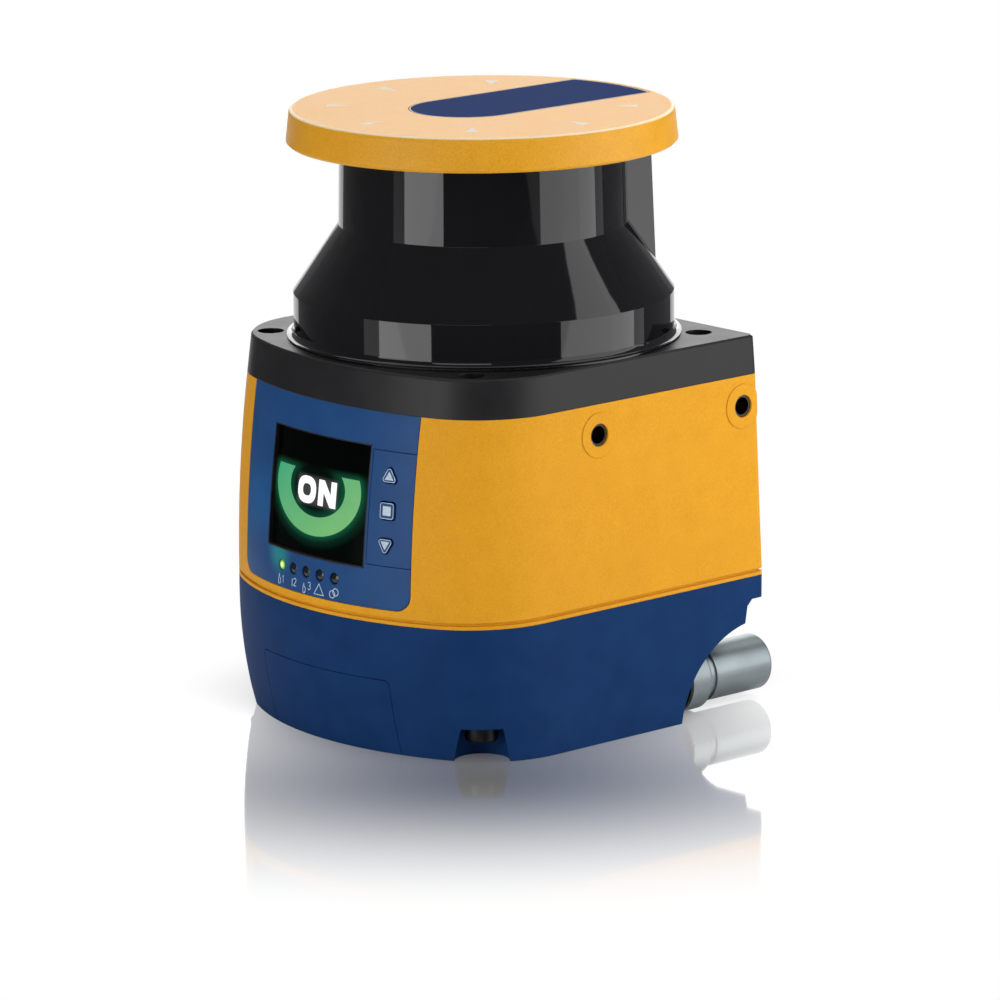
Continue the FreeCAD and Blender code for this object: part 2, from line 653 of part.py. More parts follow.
def screw(name, spot, direction, shank):
    """Socket-head screw with its seat under the head at the given spot and its shank along a direction."""
    back, away = ("-Z", "-") if direction == "+Z" else ("+Z", "+")
    disc = cylinder(f"{name}Disc", "screw_head_radius", "screw_head_height", spot, back)
    dome = doc.addObject("Part::Sphere", f"{name}Dome")
    bind(dome, Radius="screw_dome")
    place(dome, (spot[0], spot[1], f"{spot[2]} {away} (screw_head_height - screw_dome)"))
    head = common(f"{name}Head", disc, dome)
    stem = cylinder(f"{name}Stem", "screw_radius", shank, spot, direction)
    socket = doc.addObject("Part::Prism", f"{name}Socket")
    socket.Polygon = 6
    bind(socket, Circumradius="screw_socket", Height="socket_depth")
    floor = f"{spot[2]} {away} (screw_head_height - socket_depth)"
    place(socket, (spot[0], spot[1], floor), directions[back])
    return cut(name, fuse(f"{name}Blank", head, stem), socket)


# Base: a bowed tray, relieved under its rear so that the connector can leave

half_seam = "seam_height / 2"
base_outer = envelope("BaseOuter", [("0", "foot"), (half_seam, "belly"), ("seam_height", "seam")])
base_hollow = envelope(
    "BaseHollow", [("base_floor", "foot"), (half_seam, "belly"), ("seam_height", "seam")], "base_wall")


def rear_relief(name, grow):
    """Round relief and stepped ledge under the rear, seen from the side and run across the whole width."""
    body = new_body(name)
    radius = f"(relief_radius + {grow})"
    start = f"(ledge_start - {grow})"
    rise = f"sqrt({radius} ^ 2 - (relief_back - {start}) ^ 2) - relief_drop"
    far = "relief_back + relief_radius"
    side_view = outline(body, f"{name}Side", "YZ_Plane", [
        (f"relief_back - {radius}", "-relief_drop", radius, -1),
        (start, rise),
        (f"ledge_step - {grow}", f"ledge_height + {grow} - ledge_slope"),
        (f"ledge_step + ledge_slope - {grow}", f"ledge_height + {grow}"),
        (far, f"ledge_height + {grow}"),
        (far, "-relief_drop"),
    ])
    pad(body, side_view, "4 * seam_half_width", both=True)
    return body


relief = rear_relief("Relief", "0")
relief_skin = rear_relief("ReliefSkin", "base_wall")
base_shell = cut("BaseShell", base_outer, cut("BaseRoom", base_hollow, relief_skin))

additions = []
removals = []
base_screws = []
column = "screw_column"
hole = "screw_radius + screw_play"
tall = "2 * seam_height"
for word, sign in (("Right", ""), ("Left", "-")):
    pocket_spot = (f"{sign}pocket_side", "-pocket_front")
    front_spot = (f"{sign}base_screw_side", "-base_screw_front")
    rear_spot = (f"{sign}rear_screw_side", "rear_screw_back")
    block = cylinder(f"PocketBlock{word}", "pocket_radius + pocket_wall", "pocket_height + pocket_wall",
                     (*pocket_spot, "0"))
    front = cylinder(f"FrontColumn{word}", column, "seam_height - pocket_height",
                     (*front_spot, "pocket_height"))
    rear = cylinder(f"RearColumn{word}", column, "seam_height - base_floor", (*rear_spot, "base_floor"))
    additions.append(common(f"PocketShell{word}", block, base_outer))
    additions.append(common(f"FrontPost{word}", front, base_outer))
    additions.append(common(f"RearPost{word}", rear, base_outer))
    removals.append(cone(f"Pocket{word}", "pocket_roof + pocket_flare", "pocket_roof",
                         "pocket_height + pocket_wall", (*pocket_spot, "-pocket_wall")))
    removals.append(cylinder(f"RearSeat{word}", "rear_seat_radius", "rear_seat_height", (*rear_spot, "0")))
    removals.append(cylinder(f"FrontHole{word}", hole, tall, (*front_spot, "0")))
    removals.append(cylinder(f"RearHole{word}", hole, tall, (*rear_spot, "0")))
    front_shank = "seam_height - pocket_height + screw_grip"
    rear_shank = "seam_height - rear_seat_height + screw_grip"
    base_screws.append(screw(f"FrontScrew{word}", (*front_spot, "pocket_height"), "+Z", front_shank))
    base_screws.append(screw(f"RearScrew{word}", (*rear_spot, "rear_seat_height"), "+Z", rear_shank))

stack_spots = [
    (f"{sign}stack_side", along) for sign in ("", "-") for along in ("-stack_front", "stack_back")
]
for number, (across, along) in enumerate(stack_spots):
    additions.append(cylinder(f"BoardPost{number}", "stack_radius", "interface_height - base_floor / 2",
                              (across, along, "base_floor / 2")))

connector_spot = ("connector_side", "connector_seat", "connector_height")
spot_face = "connector_collar + clearance"
block_start = "connector_seat + connector_collar"
connector_block = cylinder("ConnectorBlock", f"{spot_face} + pocket_wall", "connector_collar + spigot_length",
                           ("connector_side", block_start, "connector_height"), "-Y")
additions.append(common("ConnectorWall", connector_block, base_outer))
removals.append(cylinder("ConnectorSpotFace", spot_face, "relief_radius", connector_spot, "+Y"))
removals.append(cylinder("ConnectorHole", "connector_spigot + clearance", "2 * spigot_length",
                         ("connector_side", "connector_seat + seal_thickness", "connector_height"), "-Y"))
base_blank = fuse("BaseBlank", base_shell, fuse("BaseAdditions", *additions))
base_body = cut("BaseRelieved", base_blank, relief)

gasket_outer = "gasket_inset"
gasket_inner = "gasket_inset + gasket_width"


def rim_ring(name, grow):
    """Flat ring that follows the outline of the seam."""
    ring = []
    for part, inset in (("Outer", f"{gasket_outer} - {grow}"), ("Inner", f"{gasket_inner} + {grow}")):
        body = new_body(f"{name}{part}")
        ring_plan = plan(body, f"{name}{part}Plan", "seam_height - gasket_depth", "seam", inset)
        pad(body, ring_plan, "gasket_depth")
        ring.append(body)
    return cut(name, *ring)


gasket = rim_ring("BaseGasket", "0")
gasket_groove = rim_ring("GasketGroove", "clearance")


def cover_outline(grow):
    """Upright rectangle with rounded upper corners."""
    left = f"cover_middle - cover_half_width - {grow}"
    right = f"cover_middle + cover_half_width + {grow}"
    top = f"cover_height + {grow}"
    return [
        (left, "-cover_corner"),
        (right, "-cover_corner"),
        (right, f"{top} - cover_corner", "cover_corner", 1),
        (f"{right} - cover_corner", top),
        (f"{left} + cover_corner", top, "cover_corner", 1),
        (left, f"{top} - cover_corner"),
    ]


cover_stations = [("0", "foot"), (half_seam, "belly"), ("seam_height", "seam")]
cover_back = envelope("CoverBack", cover_stations, "cover_thickness")
cover_floor = envelope("CoverFloor", cover_stations, "cover_thickness + clearance")
cover_blank = common("CoverBlank", prism("CoverPrism", cover_outline("0")), base_outer)
service_cover = cut("ServiceCover", cover_blank, cover_back)
cover_recess = cut("CoverRecess", prism("CoverSpace", cover_outline("clearance")), cover_floor)
hatch = box("Hatch", ("2 * hatch_half_width", "seam_front - interface_front", "hatch_high - hatch_low"),
            ("cover_middle - hatch_half_width", "-seam_front", "hatch_low"))

base = cut("Base", base_body, fuse("BaseRemovals", *removals, hatch), gasket_groove, cover_recess)
node(base, "base")
node(gasket, "base_gasket")
node(service_cover, "service_cover")
node(group("BaseScrews", base_screws), "base_screws")


# Connector at the lower rear: a turned sleeve with its insert, contacts and seal

def along_connector(name, corners):
    """A body turned about the connector's axis; corners are (radius, distance behind the seat)."""
    body = turned(name, corners)
    place(body, connector_spot, directions["+Y"])
    return body


sleeve_end = "(collar_length + sleeve_length)"
shell = along_connector("ConnectorShell", [
    ("connector_bore", "-spigot_length"),
    ("connector_spigot", "-spigot_length"),
    ("connector_spigot", "seal_thickness"),
    ("connector_collar", "seal_thickness"),
    ("connector_collar", "collar_length"),
    ("groove_radius", "collar_length + collar_taper"),
    ("groove_radius", "collar_length + collar_taper + groove_width"),
    ("connector_radius", "collar_length + collar_taper + groove_width"),
    ("connector_radius", f"{sleeve_end} - connector_rim", "connector_rim", 1),
    ("connector_radius - connector_rim", sleeve_end),
    ("connector_bore", sleeve_end),
])
seal = along_connector("ConnectorSeal", [
    ("connector_spigot + clearance", "0"),
    ("connector_collar", "0"),
    ("connector_collar", "seal_thickness"),
    ("connector_spigot + clearance", "seal_thickness"),
])
insert_end = f"{sleeve_end} - connector_recess"
insert = along_connector("ConnectorInsert", [
    ("0", "-spigot_length"),
    ("connector_bore - press_play", "-spigot_length"),
    ("connector_bore - press_play", insert_end),
    ("0", insert_end),
])
contacts = [cylinder("MiddleContact", "contact_radius", "contact_length",
                     ("connector_side", f"connector_seat + {insert_end}", "connector_height"), "+Y")]
for number in range(int(value("contact_count"))):
    angle = f"{number} * 360 / contact_count"
    contacts.append(cylinder(f"Contact{number}", "contact_radius", "contact_length", (
        f"connector_side + contact_circle * cos({angle})",
        f"connector_seat + {insert_end}",
        f"connector_height + contact_circle * sin({angle})"), "+Y"))
node(shell, "connector_shell")
node(seal, "connector_seal")
node(insert, "connector_insert")
node(group("ConnectorContacts", contacts), "connector_contacts")


# Boards in the base and the lower housing

interface = box("InterfaceBoard",
                ("2 * interface_half_width", "interface_front + interface_back", "board_thickness"),
                ("-interface_half_width", "-interface_front", "interface_height"))
interface_top = "interface_height + board_thickness"
main_board = box("MainBoard", ("2 * main_half_width", "2 * main_reach", "board_thickness"),
                 ("-main_half_width", "-main_reach", "main_height"))
main_top = "main_height + board_thickness"
stack_gap = f"main_height - ({interface_top})"
spacers = [cylinder(f"Spacer{number}", "stack_radius", stack_gap, (across, along, interface_top))
           for number, (across, along) in enumerate(stack_spots)]
stacking = box("StackingConnector", ("2 * plug_half_width", "2 * plug_half_depth", stack_gap),
               ("-plug_half_width", "-plug_front - plug_half_depth", interface_top))
port = box("ServicePort", ("2 * port_half_width", "port_depth", "port_height"),
           ("cover_middle - port_half_width", "-interface_front", interface_top))
chip_plan = [
    ("-main_half_width / 2", "main_reach / 2", "processor_half"),
    ("main_half_width / 2", "main_reach / 2", "memory_half"),
    ("-main_half_width / 2", "-main_reach / 2", "driver_half"),
    ("main_half_width / 2", "-main_reach / 2", "supply_half"),
]
chips = [box(f"Chip{number}", (f"2 * {half}", f"2 * {half}", "chip_height"),
             (f"{across} - {half}", f"{along} - {half}", main_top))
         for number, (across, along, half) in enumerate(chip_plan)]
node(interface, "interface_board")
node(main_board, "main_board")
node(group("MainBoardChips", chips), "main_board_chips")
node(group("BoardSpacers", spacers), "board_spacers")
node(stacking, "stacking_connector")
node(port, "service_port")


# Main housing: a barrel-fronted shell with a roof, screw bosses and side mounting bosses

loft_start = "seam_height + lip_height + groove_height"
half_housing = "(seam_height + shoulder_height) / 2"
housing_stations = [(loft_start, "seam"), (half_housing, "waist"), ("shoulder_height", "shoulder")]

housing_outer = new_body("HousingOuter")
pad(housing_outer, plan(housing_outer, "HousingLip", "seam_height", "seam"), "lip_height")
pad(housing_outer, plan(housing_outer, "HousingGroove", "seam_height", "seam", "groove_depth"),
    "lip_height + groove_height")
loft(housing_outer, "HousingLoft",
     [plan(housing_outer, f"Housing{form.title()}", height, form) for height, form in housing_stations])
housing_hollow = envelope("HousingHollow", [
    ("seam_height", "seam"), (half_housing, "waist"), ("shoulder_height - roof", "shoulder")], "housing_wall")
housing_shell = cut("HousingShell", housing_outer, housing_hollow)

boss_skin = envelope("BossSkin", housing_stations, "-insert_proud")
bosses = []
bores = [cylinder("RoofOpening", "roof_opening", "4 * roof", ("0", "0", "shoulder_height - 2 * roof"))]
inserts = []
frame_screws = []
for word, sign in (("Right", ""), ("Left", "-")):
    lower_spots = [
        (f"{sign}base_screw_side", "-base_screw_front"),
        (f"{sign}rear_screw_side", "rear_screw_back"),
    ]
    for number, spot in enumerate(lower_spots):
        bosses.append(cylinder(f"LowerBoss{word}{number}", column, "base_boss_depth", (*spot, "seam_height")))
        bores.append(cylinder(f"LowerBore{word}{number}", hole, "screw_grip + bore_spare",
                              (*spot, "seam_height")))
    brace_end = "seam_half_width - housing_wall / 2"
    brace_start = "rear_screw_side" if word == "Right" else f"-({brace_end})"
    brace_extent = (f"{brace_end} - rear_screw_side", "brace_thickness", "base_boss_depth")
    bosses.append(box(f"BossBrace{word}", brace_extent,
                      (brace_start, "rear_screw_back - brace_thickness / 2", "seam_height")))
    for number, along in enumerate(("-frame_screw_front", "frame_screw_back")):
        spot = (f"{sign}frame_screw_side", along)
        bosses.append(cylinder(f"UpperBoss{word}{number}", column, "frame_boss_depth",
                               (*spot, "shoulder_height - frame_boss_depth")))
        bores.append(cylinder(f"UpperBore{word}{number}", hole, "screw_grip + 2 * bore_spare",
                              (*spot, "shoulder_height - screw_grip - bore_spare")))
        shank = "frame_screw_seat - shoulder_height + screw_grip"
        frame_screws.append(screw(f"FrameScrew{word}{number}", (*spot, "frame_screw_seat"), "-Z", shank))
    inward = "-X" if word == "Right" else "+X"
    for number, along in enumerate(("-insert_front", "insert_spacing - insert_front")):
        spot = (f"{sign}(insert_face + insert_proud)", along, "insert_height")
        stem = cylinder(f"SideStem{word}{number}", "insert_boss",
                        "insert_proud + insert_length + insert_floor", spot, inward)
        bosses.append(common(f"SideBoss{word}{number}", stem, boss_skin))
        bores.append(cylinder(f"SideBore{word}{number}", "insert_radius + press_play",
                              "insert_proud + insert_length", spot, inward))
        start = (f"{sign}insert_start", along, "insert_height")
        depth = "insert_length - insert_setback"
        sleeve = cylinder(f"InsertSleeve{word}{number}", "insert_radius", depth, start, inward)
        bore = cylinder(f"InsertBore{word}{number}", "insert_bore", depth, start, inward)
        inserts.append(cut(f"Insert{word}{number}", sleeve, bore))


def panel_outline(grow, top):
    """Upright rectangle with rounded lower corners."""
    half = f"(panel_half_width + {grow})"
    bottom = f"panel_bottom - {grow}"
    return [
        (f"{half} - panel_corner", bottom, "panel_corner", 1),
        (half, f"{bottom} + panel_corner"),
        (half, top),
        (f"-{half}", top),
        (f"-{half}", f"{bottom} + panel_corner", "panel_corner", 1),
        (f"panel_corner - {half}", bottom),
    ]


def upright(left, right, bottom, top):
    return [(left, bottom), (right, bottom), (right, top), (left, top)]


panel_back = envelope("PanelBack", housing_stations, "panel_thickness")
panel_floor = envelope("PanelFloor", housing_stations, "panel_thickness + clearance")
panel_recess = cut("PanelRecess", prism("PanelSpace", panel_outline("clearance", "shoulder_height + roof")),
                   panel_floor)
opening_half = "panel_half_width - panel_ledge"
opening_low = "panel_bottom + panel_ledge"
opening_high = "shoulder_height - roof"
panel_opening = box("PanelOpening",
                    (f"2 * ({opening_half})", "2 * seam_front - board_front + board_room",
                     f"{opening_high} - ({opening_low})"),
                    (f"-({opening_half})", "-2 * seam_front", opening_low))
housing_blank = fuse("HousingBlank", housing_shell, fuse("HousingBosses", *bosses))
housing = cut("MainHousing", housing_blank, fuse("HousingBores", *bores, panel_opening), panel_recess)
node(housing, "main_housing")
node(group("MountingInserts", inserts), "mounting_inserts")


# Front panel with display, status lights and keypad

panel_skin = cut("PanelSkin", common("PanelBlank", prism("PanelPrism", panel_outline("0", "shoulder_height")),
                                     housing_outer), panel_back)
display_gap = envelope("DisplayGap", housing_stations, "display_depth")
display_opening = prism("DisplayOpening", upright(
    "-display_half_width", "display_half_width", "display_bottom", "display_top"))
display_prism = prism("DisplayPrism", upright(
    "clearance - display_half_width", "display_half_width - clearance",
    "display_bottom + clearance", "display_top - clearance"))
display_window = cut("DisplayWindow", common("DisplayBlank", display_prism, display_gap), panel_back)

keypad_right = "panel_half_width + panel_ledge"
keypad_space = prism("KeypadSpace", upright(
    "keypad_left - clearance", keypad_right, "keypad_bottom - clearance", "keypad_top + clearance"))
keypad_prism = prism("KeypadPrism", upright("keypad_left", keypad_right, "keypad_bottom", "keypad_top"))

board_half = f"{opening_half} - board_margin"
board_low = f"{opening_low} + board_margin"
board_high = f"{opening_high} - board_margin"
posts = []
for across in ("post_side", "-post_side"):
    for level_text in (f"{board_low} + post_inset", f"{board_high} - post_inset"):
        post = cylinder(f"PanelPost{len(posts)}", "post_radius", "seam_front",
                        (across, "-board_front", level_text), "-Y")
        posts.append(common(f"PanelFoot{len(posts)}", post, display_gap))

lights = []
light_holes = []
light_face = envelope("LightFace", housing_stations, "light_depth")
for number in range(int(value("light_count"))):
    spot = (f"light_first + {number} * light_pitch", "-board_front", "light_height")
    rod = cylinder(f"LightRod{number}", "light_radius", "seam_front", spot, "-Y")
    lights.append(common(f"Light{number}", rod, light_face))
    light_holes.append(cylinder(f"LightHole{number}", "light_radius + press_play", "seam_front", spot, "-Y"))
panel_openings = fuse("PanelOpenings", display_opening, keypad_space, *light_holes)
front_panel = cut("FrontPanel", fuse("PanelWithPosts", panel_skin, *posts), panel_openings)


def at_height(quantity, height):
    """A front quantity at any height of the housing: the parabola through its three stations."""
    stations = [(f"({station})", f"({levels[form][quantity]})") for station, form in housing_stations]
    terms = []
    for here, amount in stations:
        others = [f"(({height}) - {there}) / ({here} - {there})"
                  for there, other in stations if there != here]
        terms.append(" * ".join([amount, *others]))
    return f"({' + '.join(terms)})"


def face_at(across, height):
    """Where the panel's face lies along Y."""
    bow = at_height("bow", height)
    return f"{bow} - {at_height('front', height)} - sqrt({bow} ^ 2 - ({across}) ^ 2)"


def key_outline(shape, grow):
    """Rounded triangle that points up (+1) or down (-1), or a rounded square (0), about the key's middle."""
    gap = "key_gap" if grow else "0"
    corner = f"(key_corner + {gap})"
    sides = 4 if shape == 0 else 3
    inner = f"(key_square / 2 + {gap})" if shape == 0 else f"(key_edge / (2 * sqrt(3)) + {gap})"
    first = 45 if shape == 0 else 90 * shape
    points = []
    for number in range(sides):
        angle = first + number * 360 / sides
        reach = f"({inner} - {corner}) / cos(180 / {sides})"
        middle = (f"{reach} * cos({angle})", f"{reach} * sin({angle})")
        for turn in (-180 / sides, 180 / sides):
            points.append((f"{middle[0]} + {corner} * cos({angle + turn})",
                           f"{middle[1]} + {corner} * sin({angle + turn})"))
        points[-2] += (corner, 1)
    return points


def at_key(body, height):
    """Stand a key's body on the panel's face, turned outwards with the bow."""
    turn = FreeCAD.Rotation(FreeCAD.Vector(0, 0, 1), 1)
    place(body, ("key_side", face_at("key_side", height), height), turn)
    body.setExpression("Placement.Rotation.Angle", cells("key_turn"))


def on_key(sketch, outward):
    """Lean a key's sketch with the panel's face and set it out along the key's own axis."""
    lean = FreeCAD.Rotation(FreeCAD.Vector(1, 0, 0), -1)
    sketch.AttachmentOffset = FreeCAD.Placement(FreeCAD.Vector(), lean)
    sketch.setExpression("AttachmentOffset.Rotation.Angle", cells("-key_lean"))
    sketch.setExpression("AttachmentOffset.Base.y", cells(f"({outward}) * sin(key_lean)"))
    sketch.setExpression("AttachmentOffset.Base.z", cells(f"({outward}) * cos(key_lean)"))
    return sketch


keys = []
key_holes = []
switches = []
flange_depth = "panel_thickness + key_travel"
plunger_depth = f"({flange_depth} + flange_thickness + key_travel + 2 * key_gap)"
for label, shape, step in (("up_key", 1, "1"), ("enter_key", 0, "0"), ("down_key", -1, "-1")):
    name = label.title().replace("_", "")
    height = f"key_height + {step} * key_pitch"
    key = new_body(name)
    face = on_key(outline(key, f"{name}Face", "XZ_Plane", key_outline(shape, False)), "key_proud")
    pad(key, face, f"key_proud + {flange_depth}", inward=True)
    disc_plan = circles(key, f"{name}Flange", "XZ_Plane", [("0", "0", "key_flange")])
    pad(key, on_key(disc_plan, f"-({flange_depth})"), "flange_thickness", inward=True)
    at_key(key, height)
    keys.append((key, label))
    tool = new_body(f"{name}Hole")
    hole_face = outline(tool, f"{name}HoleFace", "XZ_Plane", key_outline(shape, True))
    pad(tool, on_key(hole_face, "2 * panel_thickness"), "6 * panel_thickness", inward=True)
    at_key(tool, height)
    key_holes.append(tool)
    middle = f"key_side - {plunger_depth} * cos(key_lean) * sin(key_turn)"
    level_text = f"{height} - {plunger_depth} * sin(key_lean)"
    tip = f"{face_at('key_side', height)} + {plunger_depth} * cos(key_lean) * cos(key_turn)"
    block = box(f"{name}Block", ("switch_edge", "switch_thickness", "switch_edge"), (
        f"{middle} - switch_edge / 2", "-board_front - switch_thickness", f"{level_text} - switch_edge / 2"))
    plunger = cylinder(f"{name}Plunger", "plunger_radius", f"-board_front - ({tip})",
                       (middle, "-board_front", level_text), "-Y")
    switches.append(fuse(f"{name}Switch", block, plunger))
keypad_blank = common("KeypadBlank", panel_skin, keypad_prism)
keypad_plate = cut("KeypadPlate", keypad_blank, fuse("KeyHoles", *key_holes))

display_board = box("DisplayBoard",
                    (f"2 * ({board_half})", "board_thickness", f"{board_high} - ({board_low})"),
                    (f"-({board_half})", "-board_front", board_low))
module = box("DisplayModule",
             ("2 * (display_half_width - module_margin)", "module_thickness",
              "display_top - display_bottom - 2 * module_margin"),
             ("module_margin - display_half_width", "-board_front - module_thickness",
              "display_bottom + module_margin"))
node(front_panel, "front_panel")
node(display_window, "display_window")
node(module, "display_module")
node(display_board, "display_board")
node(keypad_plate, "keypad_plate")
for key, label in keys:
    node(key, label)
node(group("KeySwitches", switches), "key_switches")
node(lights[0], "ready_light")
node(group("StatusLights", lights[1:]), "status_lights")


# Top frame: a bevelled deck with a stepped round seat for the window

frame = new_body("TopFrame")
bevel_start = "deck_height - frame_bevel"
lower = plan(frame, "FrameLower", "shoulder_height", "shoulder")
upper = plan(frame, "FrameUpper", bevel_start, "deck")
loft(frame, "FrameLoft", [lower, upper], ruled=True)
loft(frame, "FrameBevel", [plan(frame, "FrameBevelFoot", bevel_start, "deck"),
                           plan(frame, "FrameDeck", "deck_height", "deck", "frame_bevel")], ruled=True)
pocket(frame, circles(frame, "WindowSeat", "XY_Plane", [("0", "0", "window_opening")], "deck_height"),
       "deck_height - window_seat")
pocket(frame, circles(frame, "FrameOpening", "XY_Plane", [("0", "0", "frame_opening")], "deck_height"),
       "2 * (deck_height - shoulder_height)")
frame_spots = [
    (f"{sign}frame_screw_side", along)
    for sign in ("", "-") for along in ("-frame_screw_front", "frame_screw_back")
]
pocket(frame, circles(frame, "ScrewMouths", "XY_Plane",
                      [(*spot, "frame_screw_hole") for spot in frame_spots], "deck_height"),
       "deck_height - frame_screw_seat")
screw_holes = [(*spot, hole) for spot in frame_spots]
pocket(frame, circles(frame, "ScrewHoles", "XY_Plane", screw_holes, "deck_height"),
       "2 * (deck_height - shoulder_height)")
node(frame, "top_frame")
node(group("TopFrameScrews", frame_screws), "top_frame_screws")


# Scan head: window with its rear column, seal, cap and inlaid label

spigot = "(window_opening - 2 * clearance)"
spigot_bore = f"({spigot} - window_wall)"
cone_run = "(drum_radius - neck_radius)"
cone_rise = "(neck_bottom - drum_top)"
cone_length = f"sqrt({cone_run} ^ 2 + {cone_rise} ^ 2)"
drop_neck = f"window_wall * ({cone_length} - {cone_rise}) / {cone_run}"
window_bell = turned("WindowBell", [
    (spigot_bore, "window_seat + seal_height"),
    (spigot, "window_seat + seal_height"),
    (spigot, "deck_height"),
    ("flange_radius", "deck_height"),
    ("flange_radius", "deck_height + flange_edge"),
    ("drum_radius + flange_sweep", "deck_height + flange_edge", "flange_sweep", -1),
    ("drum_radius", "deck_height + flange_edge + flange_sweep"),
    ("drum_radius", "drum_top"),
    ("neck_radius", "neck_bottom"),
    ("neck_top_radius", "head_height"),
    ("motor_opening", "head_height"),
    ("motor_opening", "head_height - window_wall"),
    ("neck_top_radius - window_wall", "head_height - window_wall"),
    ("neck_radius - window_wall", f"neck_bottom - {drop_neck}"),
    ("drum_radius - window_wall", f"drum_top - {drop_neck}"),
    ("drum_radius - window_wall", "deck_height + window_wall"),
    (spigot_bore, "deck_height"),
])
cone_depth = f"(neck_bottom - (column_radius - neck_radius) * {cone_rise} / {cone_run})"
column_foot = f"({cone_depth} - {drop_neck})"
column_ring = turned("ColumnRing", [
    ("neck_top_radius - window_wall / 2", "head_height"),
    ("neck_radius - window_wall / 2", f"neck_bottom - {drop_neck} / 2"),
    ("column_radius", column_foot),
    ("column_top_radius", "head_height"),
])
column_space = box("ColumnSpace", ("2 * column_half_width", "column_radius", f"head_height - {column_foot}"),
                   ("-column_half_width", "0", column_foot))
window = fuse("OpticalWindow", window_bell, common("RearColumn", column_ring, column_space))
window_seal = turned("WindowSeal", [
    ("frame_opening", "window_seat"),
    (spigot, "window_seat"),
    (spigot, "window_seat + seal_height"),
    ("frame_opening", "window_seat + seal_height"),
])
motor_top = "head_height + motor_flange_height"
cap_blank = turned("CapBlank", [
    ("0", f"{motor_top} + cap_room"),
    ("motor_flange + cap_room", f"{motor_top} + cap_room"),
    ("motor_flange + cap_room", "head_height"),
    ("cap_radius - cap_bevel", "head_height"),
    ("cap_radius", "head_height + cap_bevel"),
    ("cap_radius - cap_draft", "cap_top - cap_rounding", "cap_rounding", 1),
    ("cap_radius - cap_draft - cap_rounding", "cap_top"),
    ("0", "cap_top"),
])


def label_pill(name, grow, thickness):
    """Pill that starts with a round end before the axis and runs back to the rim of the cap."""
    body = new_body(name)
    half = f"(label_half_width + {grow})"
    rim = f"(cap_radius - cap_draft - cap_rounding - label_rim + {grow})"
    back = f"sqrt({rim} ^ 2 - {half} ^ 2)"
    pill = outline(body, f"{name}Outline", "XY_Plane", [
        (f"-{half}", "-label_front", half, 1),
        ("0", f"-label_front - {half}", half, 1),
        (half, "-label_front"),
        (half, back, rim, 1),
        (f"-{half}", back),
    ], f"cap_top - {thickness}")
    pad(body, pill, thickness)
    return body


cap = cut("TopCap", cap_blank, label_pill("LabelRecess", "clearance", "(label_thickness + press_play)"))
node(window, "optical_window")
node(window_seal, "window_seal")
node(cap, "top_cap")
node(label_pill("CapLabel", "0", "label_thickness"), "cap_label")


# Receiving optics: carrier with a light funnel, lens, laser module, photodiode and its board

throat = "(diode_radius + 2 * clearance)"
lens_rim = "(lens_radius + clearance)"
carrier_top = "shoulder_height + carrier_thickness"
carrier = turned("OpticsCarrier", [
    (throat, "funnel_end"),
    ("funnel_foot_radius", "funnel_end"),
    ("funnel_foot_radius", "funnel_end + funnel_foot"),
    (f"{throat} + 2 * funnel_wall", "funnel_end + funnel_foot"),
    (f"{lens_rim} + funnel_wall", "lens_seat - funnel_wall"),
    (f"{lens_rim} + funnel_wall", "shoulder_height"),
    ("frame_opening - 2 * clearance", "shoulder_height"),
    ("frame_opening - 2 * clearance", carrier_top),
    (lens_rim, carrier_top),
    (lens_rim, "lens_seat"),
    ("lens_radius - lens_ledge", "lens_seat"),
    (throat, "funnel_end + diode_height + diode_room"),
])
lens_bore = "laser_radius + clearance"
lens_top = "lens_seat + lens_edge + lens_dome"
lens = turned("ReceiverLens", [
    (lens_bore, "lens_seat"),
    ("lens_radius", "lens_seat"),
    ("lens_radius", "lens_seat + lens_edge",
     "((lens_radius - laser_radius - clearance) ^ 2 + lens_dome ^ 2) / (2 * lens_dome)", 1),
    (lens_bore, lens_top),
])
laser = turned("LaserModule", [
    ("0", "lens_seat - laser_flange_height"),
    ("laser_flange", "lens_seat - laser_flange_height"),
    ("laser_flange", "lens_seat"),
    ("laser_radius", "lens_seat"),
    ("laser_radius", "lens_seat + laser_reach"),
    ("0", "lens_seat + laser_reach"),
])
detector_board = cylinder("DetectorBoard", "funnel_foot_radius", "board_thickness",
                          ("0", "0", "funnel_end - board_thickness"))
diode = cylinder("Photodiode", "diode_radius", "diode_height", ("0", "0", "funnel_end"))
node(carrier, "optics_carrier")
node(lens, "receiver_lens")
node(laser, "laser_module")
node(detector_board, "detector_board")
node(diode, "photodiode")


# Motor, encoder and the turning mirror

seat = "(bearing_radius + press_play)"
motor = turned("MotorBody", [
    (seat, "motor_bottom"),
    ("motor_radius", "motor_bottom"),
    ("motor_radius", "head_height"),
    ("motor_flange", "head_height"),
    ("motor_flange", motor_top),
    (seat, motor_top),
    (seat, f"{motor_top} - bearing_height"),
    ("motor_bore", f"{motor_top} - bearing_height"),
    ("motor_bore", "motor_bottom + bearing_height"),
    (seat, "motor_bottom + bearing_height"),
])
bearings = []
for name, height in (("LowerBearing", "motor_bottom"), ("UpperBearing", f"{motor_top} - bearing_height")):
    bearings.append(turned(name, [
        ("shaft_radius + bearing_play", height),
        ("bearing_radius", height),
        ("bearing_radius", f"{height} + bearing_height"),
        ("shaft_radius + bearing_play", f"{height} + bearing_height"),
    ]))
disc_top = "hub_top + disc_thickness"
shaft = turned("MotorShaft", [
    ("0", "shaft_bottom"),
    ("shaft_radius", "shaft_bottom"),
    ("shaft_radius", disc_top),
    ("collar_radius", disc_top),
    ("collar_radius", "motor_bottom - collar_gap"),
    ("shaft_radius", "motor_bottom - collar_gap"),
    ("shaft_radius", f"{motor_top} - 2 * press_play"),
    ("0", f"{motor_top} - 2 * press_play"),
])
